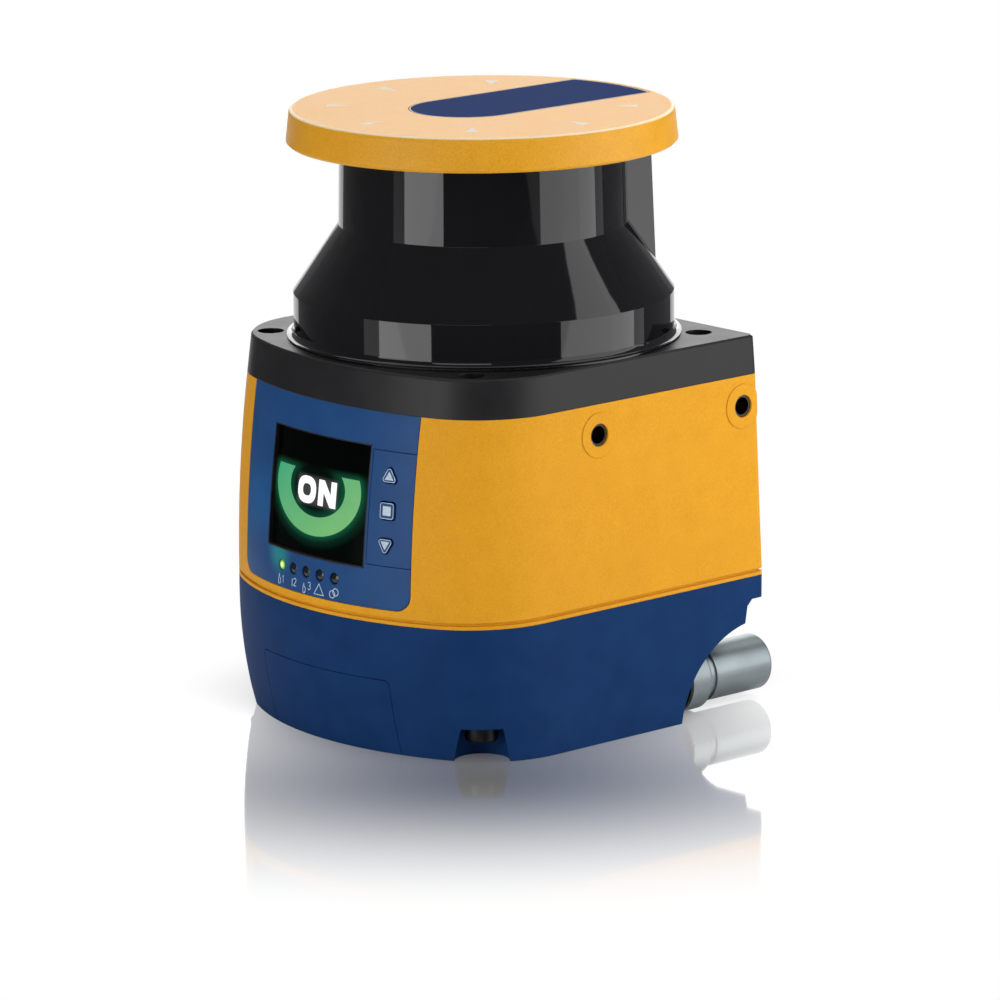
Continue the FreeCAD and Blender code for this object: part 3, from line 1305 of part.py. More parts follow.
shaft_hole = "shaft_radius + press_play"

tilt = FreeCAD.Rotation(FreeCAD.Vector(1, 0, 0), -45)


def tilted_slab(name, thickness):
    """Square slab whose upper face leans back by 45 degrees through the beam's height on the axis."""
    half = "(2 * hub_radius)"
    lean = "sqrt(0.5)"
    back = f"-({half} + {thickness}) * {lean}"
    top = f"beam_height + ({half} - {thickness}) * {lean}"
    return box(name, (f"2 * {half}", f"2 * {half}", thickness), (f"-{half}", back, top), tilt)


hub_blank = cylinder("HubBlank", "hub_radius", "hub_top - beam_height + hub_radius",
                     ("0", "0", "beam_height - hub_radius"))
hub_bore = cylinder("HubBore", shaft_hole, "2 * (hub_top - shaft_bottom)",
                    ("0", "0", "shaft_bottom - clearance"))
hub = cut("MirrorHub", hub_blank, tilted_slab("HubSlope", "(3 * hub_radius)"), hub_bore)
mirror = common("ScanMirror", cylinder("MirrorRound", "hub_radius", "4 * hub_radius",
                                       ("0", "0", "beam_height - 2 * hub_radius")),
                tilted_slab("MirrorSlab", "mirror_thickness"))

disc = new_body("EncoderDisc")
disc_rings = [("0", "0", "disc_radius"), ("0", "0", shaft_hole)]
pad(disc, circles(disc, "DiscPlan", "XY_Plane", disc_rings, "hub_top"), "disc_thickness")
slot_out = "disc_radius - slot_edge"
slot = pocket(disc, outline(disc, "SlotPlan", "XY_Plane", [
    (f"{slot_out} - slot_length", "-slot_width / 2"),
    (slot_out, "-slot_width / 2"),
    (slot_out, "slot_width / 2"),
    (f"{slot_out} - slot_length", "slot_width / 2"),
], disc_top), "disc_thickness")
slots = disc.newObject("PartDesign::PolarPattern", "Slots")
slots.Originals = [slot]
slots.Axis = (disc.Group[0], ["N_Axis"])
slots.Angle = 360
bind(slots, Occurrences="slot_count")
disc.Tip = slots

encoder_board = cut("EncoderBoard",
                    cylinder("EncoderRound", "encoder_board_radius", "board_thickness",
                             ("0", "0", "motor_bottom - board_thickness")),
                    cylinder("EncoderHole", "encoder_board_bore", "3 * board_thickness",
                             ("0", "0", "motor_bottom - 2 * board_thickness")))
fork_bottom = "hub_top - fork_gap - fork_web"
fork_start = "disc_radius - fork_depth"
fork = cut("EncoderSensor",
           box("ForkBlock", ("fork_depth + fork_gap + fork_web", "fork_width",
                             f"motor_bottom - board_thickness - ({fork_bottom})"),
               (fork_start, "-fork_width / 2", fork_bottom)),
           box("ForkSlot", ("2 * fork_depth + fork_gap", "2 * fork_width", "disc_thickness + 2 * fork_gap"),
               (f"{fork_start} - fork_depth", "-fork_width", "hub_top - fork_gap")))
node(motor, "motor_body")
node(group("MotorBearings", bearings), "motor_bearings")
node(shaft, "motor_shaft")
node(disc, "encoder_disc")
node(encoder_board, "encoder_board")
node(fork, "encoder_sensor")
node(hub, "mirror_hub")
node(mirror, "scan_mirror")

doc.recompute()

# Nothing is written unless every object and every piece is sound
for item in doc.Objects:
    if "Invalid" in item.State or "Error" in item.State:
        raise RuntimeError(f"{item.Name} ({item.Label}) failed: {item.State}")
for item in nodes:
    if item.Shape.isNull() or not item.Shape.isValid() or not item.Shape.Solids:
        raise RuntimeError(f"{item.Label} has no sound solid")
for item in nodes:
    item.Shape.exportStep(f"parts/{item.Label}.step")
    print(f"{item.Label}: {len(item.Shape.Solids)} solids, {item.Shape.Volume:.1f} cubic millimetres")
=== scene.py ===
import math

import bpy
import numpy as np
from mathutils import Matrix, Vector


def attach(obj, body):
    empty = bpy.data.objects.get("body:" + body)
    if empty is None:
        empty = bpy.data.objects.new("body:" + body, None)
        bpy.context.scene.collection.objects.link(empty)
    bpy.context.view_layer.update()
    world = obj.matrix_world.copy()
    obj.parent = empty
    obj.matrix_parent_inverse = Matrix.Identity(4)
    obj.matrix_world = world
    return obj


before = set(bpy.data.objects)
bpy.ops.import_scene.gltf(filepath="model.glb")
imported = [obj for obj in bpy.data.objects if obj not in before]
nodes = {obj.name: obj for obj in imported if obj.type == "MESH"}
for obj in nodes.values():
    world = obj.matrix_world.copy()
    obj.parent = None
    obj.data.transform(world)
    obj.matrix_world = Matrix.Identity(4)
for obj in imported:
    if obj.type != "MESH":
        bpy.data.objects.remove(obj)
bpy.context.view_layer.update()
scene = bpy.context.scene
mm = 0.001
print("frame loaded:", len(nodes), "nodes")


# Colours and nodes

def linear(code):
    # sRGB hex to linear light, by the two parts of the sRGB curve
    parts = [int(code[i:i + 2], 16) / 255 for i in (0, 2, 4)]
    return tuple(p / 12.92 if p <= 0.04045 else ((p + 0.055) / 1.055) ** 2.4 for p in parts) + (1.0,)


def put(tree, kind, settings=None, links=None):
    # adds a node: small-letter names are its properties, the others its sockets
    node = tree.nodes.new(kind)
    for key, amount in (settings or {}).items():
        if key == "stops":
            ramp = node.color_ramp.elements
            while len(ramp) < len(amount):
                ramp.new(1.0)
            for stop, (place, colour) in zip(ramp, amount):
                stop.position = place
                stop.color = colour
        elif isinstance(key, str) and key[0].islower():
            setattr(node, key, amount)
        else:
            node.inputs[key].default_value = amount
    for key, socket in (links or {}).items():
        tree.links.new(socket, node.inputs[key])
    return node


def startMaterial(name, settings):
    material = bpy.data.materials.new(name)
    material.use_nodes = True
    tree = material.node_tree
    shader = tree.nodes["Principled BSDF"]
    for key, amount in settings.items():
        shader.inputs[key].default_value = amount
    return material, tree, shader


# shared by the finishes: detail of broad and of fine noise, the two places on a ramp that noise mostly
# stays between, width of stains on metal in mm, and rays for a softened edge
habits = {"broad": 3.0, "fine": 2.0, "ramp": (0.3, 0.7), "stain": 6.0, "edgeSamples": 6}


def dress(tree, shader, look, tone, shine, relief=None):
    # gives a shader its two tints, its range of gloss, and relief over softened edges
    stops = [(place, linear(look[key])) for place, key in zip(habits["ramp"], ("dark", "light"))]
    tint = put(tree, "ShaderNodeValToRGB", {"stops": stops}, {"Fac": tone})
    gloss = put(tree, "ShaderNodeMapRange", {"To Min": look["gloss"][0], "To Max": look["gloss"][1]},
                {"Value": shine})
    tree.links.new(tint.outputs["Color"], shader.inputs["Base Color"])
    tree.links.new(gloss.outputs["Result"], shader.inputs["Roughness"])
    if relief is None:
        return
    edge = put(tree, "ShaderNodeBevel", {"samples": habits["edgeSamples"], "Radius": look["edge"] * mm})
    bump = put(tree, "ShaderNodeBump", {"Strength": 1.0, "Distance": look["depth"] * mm},
               {"Height": relief, "Normal": edge.outputs["Normal"]})
    tree.links.new(bump.outputs["Normal"], shader.inputs["Normal"])


def grained(name, look):
    # coated or moulded skin: two near tints in soft patches and specks, uneven gloss, fine raised grain;
    # a grain under about 0.2 mm wouldn't show, so finer ones are drawn that coarse
    material, tree, shader = startMaterial(name, {"Specular IOR Level": look["specular"]})
    coords = put(tree, "ShaderNodeTexCoord").outputs["Object"]
    patches = put(tree, "ShaderNodeTexNoise", {"Scale": 1 / (look["patch"] * mm), "Detail": habits["broad"]},
                  {"Vector": coords}).outputs["Fac"]
    grain = put(tree, "ShaderNodeTexNoise", {"Scale": 1 / (look["grain"] * mm), "Detail": habits["fine"]},
                {"Vector": coords}).outputs["Fac"]
    blend = put(tree, "ShaderNodeMix", {0: look.get("speck", 0.0)}, {2: patches, 3: grain}).outputs[0]
    dress(tree, shader, look, blend, patches, grain)
    return material


def turned(name, look):
    # machined metal: lines that run round the turning axis, so they change only along it
    material, tree, shader = startMaterial(name, {"Metallic": 1.0})
    coords = put(tree, "ShaderNodeTexCoord").outputs["Object"]
    along = put(tree, "ShaderNodeMapping", {"Scale": tuple(a / (look["line"] * mm) for a in look["axis"])},
                {"Vector": coords}).outputs["Vector"]
    lines = put(tree, "ShaderNodeTexNoise", {"Scale": 1.0, "Detail": habits["fine"]},
                {"Vector": along}).outputs["Fac"]
    stain = put(tree, "ShaderNodeTexNoise", {"Scale": 1 / (habits["stain"] * mm), "Detail": habits["fine"]},
                {"Vector": coords}).outputs["Fac"]
    dress(tree, shader, look, stain, lines, lines)
    return material


def clearMoulded(name, look):
    # cast or moulded plastic without grain, with faint flow marks from the mould
    material, tree, shader = startMaterial(name, {"IOR": look["ior"], "Transmission Weight": look["clear"]})
    coords = put(tree, "ShaderNodeTexCoord").outputs["Object"]
    flow = put(tree, "ShaderNodeTexNoise", {"Scale": 1 / (look["patch"] * mm), "Detail": habits["fine"]},
               {"Vector": coords}).outputs["Fac"]
    dress(tree, shader, look, flow, flow)
    return material


def paintedRimHighlight(material, look):
    # painted highlight on the rounded upper edge: the share of the pale tint grows with the radius and with
    # the height
    tree = material.node_tree
    shader = tree.nodes["Principled BSDF"]
    coords = put(tree, "ShaderNodeTexCoord").outputs["Object"]
    flat = put(tree, "ShaderNodeVectorMath", {"operation": "MULTIPLY", 1: (1.0, 1.0, 0.0)}, {0: coords})
    radius = put(tree, "ShaderNodeVectorMath", {"operation": "LENGTH"}, {0: flat.outputs["Vector"]})
    height = put(tree, "ShaderNodeSeparateXYZ", {}, {0: coords})
    grown = {"radius": radius.outputs["Value"], "height": height.outputs["Z"]}
    shares = [put(tree, "ShaderNodeMapRange",
                  {"interpolation_type": "SMOOTHSTEP", "From Min": look[key][0] * mm,
                   "From Max": look[key][1] * mm}, {"Value": amount}).outputs["Result"]
              for key, amount in grown.items()]
    share = put(tree, "ShaderNodeMath", {"operation": "MULTIPLY"}, {0: shares[0], 1: shares[1]})
    skin = shader.inputs["Base Color"].links[0].from_socket
    mixed = put(tree, "ShaderNodeMix", {"data_type": "RGBA", 7: linear(look["tint"])},
                {0: share.outputs["Value"], 6: skin})
    tree.links.new(mixed.outputs[2], shader.inputs["Base Color"])


def litSkin(base, name, spots):
    # copy of a finish with soft coloured light on it; a spot is colour, middle, reach and strength
    material = base.copy()
    material.name = name
    tree = material.node_tree
    shader = tree.nodes["Principled BSDF"]
    coords = put(tree, "ShaderNodeTexCoord").outputs["Object"]
    total = None
    for colour, middle, reach, power in spots:
        away = put(tree, "ShaderNodeVectorMath",
                   {"operation": "DISTANCE", 1: tuple(v * mm for v in middle)}, {0: coords})
        fall = put(tree, "ShaderNodeMapRange",
                   {"interpolation_type": "SMOOTHERSTEP", "From Max": reach * mm, "To Min": power,
                    "To Max": 0.0}, {"Value": away.outputs["Value"]})
        glow = put(tree, "ShaderNodeVectorMath", {"operation": "SCALE", 0: linear(colour)[:3]},
                   {"Scale": fall.outputs["Result"]})
        total = glow if total is None else put(tree, "ShaderNodeVectorMath", {"operation": "ADD"},
                                               {0: total.outputs["Vector"], 1: glow.outputs["Vector"]})
    tree.links.new(total.outputs["Vector"], shader.inputs["Emission Color"])
    shader.inputs["Emission Strength"].default_value = 1.0
    return material


def litEpoxy(name, look):
    # cast epoxy over a lit chip: strongest in the middle, falling off to the rim
    material, tree, shader = startMaterial(name, {"Base Color": linear(look["body"]),
                                                  "Roughness": look["gloss"]})
    coords = put(tree, "ShaderNodeTexCoord").outputs["Object"]
    away = put(tree, "ShaderNodeVectorMath",
               {"operation": "DISTANCE", 1: tuple(v * mm for v in look["middle"])}, {0: coords})
    fall = put(tree, "ShaderNodeMapRange",
               {"interpolation_type": "SMOOTHSTEP", "From Max": look["reach"] * mm, "To Min": look["core"],
                "To Max": look["rim"]}, {"Value": away.outputs["Value"]}).outputs["Result"]
    share = put(tree, "ShaderNodeMapRange", {"From Max": look["core"]}, {"Value": fall}).outputs["Result"]
    glow = put(tree, "ShaderNodeValToRGB",
               {"stops": [(0.0, linear(look["edge"])), (1.0, linear(look["hot"]))]}, {"Fac": share})
    tree.links.new(glow.outputs["Color"], shader.inputs["Emission Color"])
    tree.links.new(fall, shader.inputs["Emission Strength"])
    return material


def backlit(name, look):
    # lit layer of the display: colour and strength drift across it, as from a lamp behind one corner
    material, tree, shader = startMaterial(name, {"Base Color": linear(look["body"]),
                                                  "Roughness": look["gloss"]})
    coords = put(tree, "ShaderNodeTexCoord").outputs["Object"]
    across = put(tree, "ShaderNodeVectorMath",
                 {"operation": "DOT_PRODUCT", 1: tuple(v / mm for v in look["way"])}, {0: coords})
    share = put(tree, "ShaderNodeMapRange", {"From Min": look["span"][0], "From Max": look["span"][1]},
                {"Value": across.outputs["Value"]})
    tint = put(tree, "ShaderNodeValToRGB",
               {"stops": [(0.0, linear(look["from"])), (1.0, linear(look["to"]))]},
               {"Fac": share.outputs["Result"]})
    cloud = put(tree, "ShaderNodeTexNoise", {"Scale": 1 / (look["cloud"] * mm), "Detail": habits["fine"]},
                {"Vector": coords})
    power = put(tree, "ShaderNodeMapRange", {"To Min": look["power"][0], "To Max": look["power"][1]},
                {"Value": cloud.outputs["Fac"]})
    tree.links.new(tint.outputs["Color"], shader.inputs["Emission Color"])
    tree.links.new(power.outputs["Result"], shader.inputs["Emission Strength"])
    return material


# Finishes of the object; patch, grain, line, depth and edge are in mm

# baked powder over die-cast metal: warm yellow, soft sheen broken by a fine orange peel
powderCoat = grained("powderCoatedDieCast", {
    "dark": "DD9A24", "light": "EDA92B", "patch": 6.0, "gloss": (0.42, 0.50), "grain": 0.42, "depth": 0.09,
    "edge": 0.35, "specular": 0.06, "speck": 0.7})
# spark-eroded mould skin in the same yellow, a little smoother than the powder, with a painted highlight
# along its upper rim
mouldedYellowWithRimHighlight = grained("sparkErodedAbsYellowWithRimHighlight", {
    "dark": "DC9A1E", "light": "EFAD2A", "patch": 6.0, "gloss": (0.36, 0.44), "grain": 0.45, "depth": 0.08,
    "edge": 0.3, "specular": 0.25, "speck": 0.7})
# pale tint on the cap's rounded upper edge: a painted highlight
paintedRimHighlight(mouldedYellowWithRimHighlight, {"tint": "FCE7BE", "radius": (46.8, 47.05), "height": (151.5, 151.75)})
# polished infrared-pass polycarbonate: black mirror that shows the lamps as crisp bands
windowBlack = grained("polishedInfraredPolycarbonate", {
    "dark": "0B0A0D", "light": "0F0E12", "patch": 18.0, "gloss": (0.03, 0.05), "grain": 8.0, "depth": 0.004,
    "edge": 0.15, "specular": 0.39})
# glass-filled nylon straight from the tool: satin black with a greyed edge light
frameBlack = grained("mouldedGlassFilledNylon", {
    "dark": "1A1A1C", "light": "202022", "patch": 8.0, "gloss": (0.36, 0.44), "grain": 0.35, "depth": 0.02,
    "edge": 0.4, "specular": 0.24})
# textured moulding of the base: deep blue, nearly matt
baseBlue = grained("texturedPolycarbonateBlue", {
    "dark": "143462", "light": "183A6A", "patch": 8.0, "gloss": (0.46, 0.54), "grain": 0.4, "depth": 0.03,
    "edge": 0.35, "specular": 0.04})
# smoother moulding of the keypad, one step lighter than the base
panelBlue = grained("mouldedAbsBlue", {
    "dark": "1E4679", "light": "224C81", "patch": 7.0, "gloss": (0.34, 0.42), "grain": 0.3, "depth": 0.015,
    "edge": 0.25, "specular": 0.14})
# screen-printed film in the cap: dark blue with an even sheen
labelBlue = grained("printedPolyesterFilm", {
    "dark": "0D2C64", "light": "11306A", "patch": 6.0, "gloss": (0.50, 0.58), "grain": 0.25, "depth": 0.006,
    "edge": 0.1, "specular": 0.005})
# the keypad's moulding on the front panel, where the display and the lit light spill teal and green over it
panelLit = litSkin(panelBlue, "mouldedAbsBlueLit", [
    ("0A6A9A", (-23.5, -51.5, 56.0), 15.0, 0.2),
    ("1A8A4A", (-12.5, -56.5, 45.5), 7.0, 0.5),
])
# pad-printed ink: chalky pale strokes, thinner in places; also the painted highlight line round each key's
# rim
printedInkAndKeyRimHighlight = grained("padPrintedInkAndKeyRimHighlight", {
    "dark": "AFC2D6", "light": "CFDCE8", "patch": 1.2, "gloss": (0.5, 0.6), "grain": 0.2, "depth": 0.006,
    "edge": 0.03, "specular": 0.4})
# white ink on the cap, slightly warm from the yellow under it; also the painted highlight line round the
# label's edge
capInkAndLabelHighlight = grained("screenPrintedInkAndLabelHighlight", {
    "dark": "D6CBB4", "light": "E6DCC8", "patch": 2.0, "gloss": (0.45, 0.55), "grain": 0.3, "depth": 0.01,
    "edge": 0.03, "specular": 0.4})
# matt black lacquer of the display's frame, with a brown edge light
bezelBlack = grained("lacqueredBezel", {
    "dark": "15100F", "light": "221A18", "patch": 2.0, "gloss": (0.4, 0.5), "grain": 0.2, "depth": 0.005,
    "edge": 0.08, "specular": 0.3})
# moulded seal rubber, dull and dark
rubberBlack = grained("mouldedSealRubber", {
    "dark": "131313", "light": "1B1B1B", "patch": 5.0, "gloss": (0.6, 0.75), "grain": 0.3, "depth": 0.02,
    "edge": 0.15, "specular": 0.35})
# transfer-moulded epoxy of chips and carriers, grey-black and dry
chipBlack = grained("transferMouldedEpoxy", {
    "dark": "151516", "light": "202022", "patch": 4.0, "gloss": (0.5, 0.62), "grain": 0.2, "depth": 0.01,
    "edge": 0.1, "specular": 0.45})
# laminate under solder resist: even green with a wet gloss
boardGreen = grained("solderMaskedLaminate", {
    "dark": "0C3A22", "light": "145233", "patch": 2.5, "gloss": (0.25, 0.38), "grain": 0.9, "depth": 0.02,
    "edge": 0.1, "specular": 0.5})
# nickel over turned brass: satin grey with lines round the axis
nickelTurned = turned("nickelPlatedTurning", {
    "dark": "7C8588", "light": "879093", "axis": (0.0, 1.0, 0.0), "line": 0.12, "gloss": (0.32, 0.4),
    "depth": 0.004, "edge": 0.25})
# browned thread inserts that lie across the housing, dark to the bottom of the hole
insertBlack = turned("blackOxideInsert", {
    "dark": "3A3734", "light": "4A4642", "axis": (1.0, 0.0, 0.0), "line": 0.12, "gloss": (0.3, 0.42),
    "depth": 0.004, "edge": 0.2})
# blackened steel: dark screws with a dull gleam on the heads
steelBlack = turned("blackOxideSteel", {
    "dark": "1B1B1D", "light": "2A2A2D", "axis": (0.0, 0.0, 1.0), "line": 0.2, "gloss": (0.36, 0.5),
    "depth": 0.004, "edge": 0.15})
# lathe-cut aluminium of the motor and the rotor: pale grey with a soft gleam
alloyTurned = turned("latheCutAluminium", {
    "dark": "B4B6B8", "light": "CDCFD1", "axis": (0.0, 0.0, 1.0), "line": 0.15, "gloss": (0.28, 0.4),
    "depth": 0.004, "edge": 0.2})
# gold flash on the pins: warm and bright
contactGold = turned("goldFlashedBrass", {
    "dark": "C79A3E", "light": "E2BD63", "axis": (0.0, 1.0, 0.0), "line": 0.1, "gloss": (0.2, 0.3),
    "depth": 0.002, "edge": 0.05})
# front-silvered glass: a near perfect mirror
mirrorSilver = turned("frontSilveredGlass", {
    "dark": "E6E8EA", "light": "F2F3F4", "axis": (0.1, 0.1, 0.1), "line": 4.0, "gloss": (0.015, 0.03),
    "depth": 0.0005, "edge": 0.1})
# moulded optical acrylic of the receiver lens: clear as water
lensClear = clearMoulded("mouldedOpticalAcrylic", {
    "dark": "E9F1F0", "light": "F6FAFA", "patch": 10.0, "gloss": (0.01, 0.03), "ior": 1.49, "clear": 1.0})
# smoked epoxy of the unlit lights: almost black with a wet point of light
lightSmoked = clearMoulded("castSmokedEpoxy", {
    "dark": "0B1016", "light": "141B22", "patch": 1.5, "gloss": (0.06, 0.12), "ior": 1.5, "clear": 0.0})
# lit layers of the display: teal at the upper left to yellow-green at the lower right, and white
ringGlow = backlit("backlitGreenLayer", {
    "body": "0E2A1C", "gloss": 0.25, "way": (0.6, 0.0, -0.8), "span": (-62.0, -36.0), "from": "4DB582",
    "to": "84CC7C", "cloud": 4.0, "power": (0.7, 0.85)})
letterGlow = backlit("backlitWhiteLayer", {
    "body": "2A2A2A", "gloss": 0.25, "way": (0.0, 0.0, 1.0), "span": (58.0, 67.0), "from": "F2FBF6",
    "to": "FFFFFF", "cloud": 4.0, "power": (1.05, 1.2)})
print("finishes made")


# Surfaces in mm

# digits kept where points are welded, angle of a crease, and the least share of a mitre
meshing = {"digits": 4, "crease": 35.0, "mitre": 0.5}


def weld(grid):
    # grid of points (rows, columns, 3) to welded points and faces that look outwards
    rows, columns = grid.shape[:2]
    index = np.arange(rows * columns).reshape(rows, columns)
    corners = [index[:-1, :-1], index[:-1, 1:], index[1:, 1:], index[1:, :-1]]
    quads = np.stack(corners, axis=-1).reshape(-1, 4)
    points, back = np.unique(np.round(grid.reshape(-1, 3), meshing["digits"]), axis=0, return_inverse=True)
    quads = back.reshape(-1)[quads]
    corner = points[quads] - points.mean(axis=0)
    across = np.cross(corner[:, 1], corner[:, 2]) + np.cross(corner[:, 2], corner[:, 3])
    if np.einsum("ij,ij->", corner[:, 0], across) < 0:
        quads = quads[:, ::-1]
    alike = quads == np.roll(quads, -1, axis=1)
    whole = quads[alike.sum(axis=1) == 0]
    thin = alike.sum(axis=1) == 1
    turn = (np.argmax(alike[thin], axis=1)[:, None] + np.arange(1, 4)) % 4
    return points, whole, np.take_along_axis(quads[thin], turn, axis=1)


def solid(name, grids, material, body="scanner"):
    # one piece from closed grids, riding on a body
    points, faces, count = [], [], 0
    for grid in grids:
        own, quads, triangles = weld(grid)
        points.append(own)
        faces += (quads + count).tolist() + (triangles + count).tolist()
        count += len(own)
    mesh = bpy.data.meshes.new(name)
    mesh.from_pydata((np.concatenate(points) * mm).tolist(), [], faces)
    mesh.shade_smooth()
    mesh.set_sharp_from_angle(angle=math.radians(meshing["crease"]))
    mesh.materials.append(material)
    piece = bpy.data.objects.new(name, mesh)
    scene.collection.objects.link(piece)
    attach(piece, body)
    return piece


def plate(outline, profile, place):
    # P(k, j) = middle + share_k * (outline_j - middle), lifted by height_k: share 0 closes at a pole
    middle = (outline.min(axis=0) + outline.max(axis=0)) / 2
    loop = np.vstack([outline, outline[:1]]) - middle
    share, height = np.array(profile, dtype=float).T
    flat = middle + share[:, None, None] * loop[None]
    return place(flat[..., 0], flat[..., 1], np.broadcast_to(height[:, None], flat.shape[:2]))


def flatPlate(piece):
    # profile of a thin plate, from pole to pole
    return [(0, piece["low"]), (1, piece["low"]), (1, piece["high"]), (0, piece["high"])]


def band(left, right, profile, place, closed):
    # P(k, j) = left_j + share_k * (right_j - left_j), lifted by height_k; open ends run to a point inside
    share, height = np.array(list(profile) + [profile[0]], dtype=float).T
    if closed:
        left, right = np.vstack([left, left[:1]]), np.vstack([right, right[:1]])
    flat = left[None] + share[:, None, None] * (right - left)[None]
    lift = np.broadcast_to(height[:, None], flat.shape[:2])
    if not closed:
        ends = [np.broadcast_to((left[j] + right[j]) / 2, (len(share), 1, 2)) for j in (0, -1)]
        flat = np.concatenate([ends[0], flat, ends[1]], axis=1)
        level = np.full((len(share), 1), (height.min() + height.max()) / 2)
        lift = np.concatenate([level, lift, level], axis=1)
    return place(flat[..., 0], flat[..., 1], lift)


def flatBand(piece):
    # upper side from edge to edge and back along the lower side, in steps that follow the curved glass
    across = np.linspace(0, 1, piece["steps"] + 1)
    return [(a, piece["high"]) for a in across] + [(a, piece["low"]) for a in across[::-1]]


def line(path, width, low, high, place, closed=False):
    # band of one width along a path, with mitred bends
    path = np.asarray(path, dtype=float)
    step = np.roll(path, -1, axis=0) - path if closed else np.diff(path, axis=0)
    step = step / np.linalg.norm(step, axis=1, keepdims=True)
    before = np.roll(step, 1, axis=0) if closed else np.vstack([step[:1], step])
    after = step if closed else np.vstack([step, step[-1:]])
    normal = np.stack([-(before + after)[:, 1], (before + after)[:, 0]], axis=1)
    normal = normal / np.linalg.norm(normal, axis=1, keepdims=True)
    square = np.stack([-after[:, 1], after[:, 0]], axis=1)
    bend = np.maximum(np.abs(np.einsum("ij,ij->i", normal, square)), meshing["mitre"])
    reach = normal * (width / 2 / bend)[:, None]
    return band(path + reach, path - reach, [(0, low), (0, high), (1, high), (1, low)], place, closed)


def arc(middle, radius, start, end, count):
    # P(t) = middle + (across cos t, up sin t), t in degrees
    turn = np.radians(np.linspace(start, end, count))
    across, up = (radius, radius) if np.isscalar(radius) else radius
    return np.stack([middle[0] + across * np.cos(turn), middle[1] + up * np.sin(turn)], axis=1)


def circle(middle, radius, count):
    return arc(middle, radius, 0, 360 - 360 / count, count)


# Face of the front panel: reach and bow follow parabolas through three heights,
# y = bow - reach - sqrt(bow^2 - x^2); the display window lies behind it by the depth of the glass

panel = {"heights": (35.5, 59.525, 85.25), "reach": (58.6, 56.5, 52.7), "bow": (79.0, 91.0, 103.0),
         "glass": 1.2}
reachFit = np.polyfit(panel["heights"], panel["reach"], 2)
bowFit = np.polyfit(panel["heights"], panel["bow"], 2)
capTop = 152.0


def panelFace(x, z):
    bow = np.polyval(bowFit, z)
    return bow - np.polyval(reachFit, z) - np.sqrt(bow ** 2 - x ** 2)


def onPanel(a, b, h):
    return np.stack([a, panelFace(a, b) - h, b], axis=-1)


def onGlass(a, b, h):
    return np.stack([a, panelFace(a, b) + panel["glass"] - h, b], axis=-1)


def onCap(a, b, h):
    return np.stack([a, b, capTop + h], axis=-1)


def onPlan(a, b, h):
    return np.stack([a, b, h], axis=-1)


# Display: open ring and two letters that glow behind the cover

ring = {"outer": ((-0.9, 63.75), (16.0, 11.95)), "inner": ((-0.45, 63.75), (10.4, 7.25)), "ends": 67.55,
        "count": 97, "steps": 8, "low": 0.01, "high": 0.05}


def ringEdge(middle, size):
    # elliptical arc cut level at the ends
    tip = math.degrees(math.asin((ring["ends"] - middle[1]) / size[1]))
    return arc(middle, size, 180 - tip, 360 + tip, ring["count"])


solid("displayRing", [
    band(ringEdge(*ring["outer"]), ringEdge(*ring["inner"]), flatBand(ring), onGlass, False),
], ringGlow)

# the round letter lies between two superellipses, |x|^square + |y|^square = 1
letters = {"middle": (-0.1, 62.75), "oAt": -3.75, "nAt": 3.95, "outer": (3.55, 3.35), "inner": (1.6, 1.5),
           "square": 2.5, "count": 72, "steps": 4, "low": 0.06, "high": 0.1}
turnRound = np.radians(np.linspace(0, 360, letters["count"], endpoint=False))
roundShape = np.stack([np.sign(wave) * np.abs(wave) ** (2 / letters["square"])
                       for wave in (np.cos(turnRound), np.sin(turnRound))], axis=1)
middleO = np.array([letters["middle"][0] + letters["oAt"], letters["middle"][1]])
middleN = np.array([letters["middle"][0] + letters["nAt"], letters["middle"][1]])
leftN = np.array([(-3.2, -3.2), (-3.2, 3.2), (-1.2, 3.2), (1.3, -0.2), (1.3, -0.2), (1.3, 3.2)])
rightN = np.array([(-1.3, -3.2), (-1.3, 0.2), (-1.3, 0.2), (1.2, -3.2), (3.2, -3.2), (3.2, 3.2)])
solid("displayLetters", [
    band(middleO + roundShape * letters["outer"], middleO + roundShape * letters["inner"], flatBand(letters),
         onGlass, True),
    band(middleN + leftN, middleN + rightN, flatBand(letters), onGlass, False),
], letterGlow)
print("display ring and letters made")


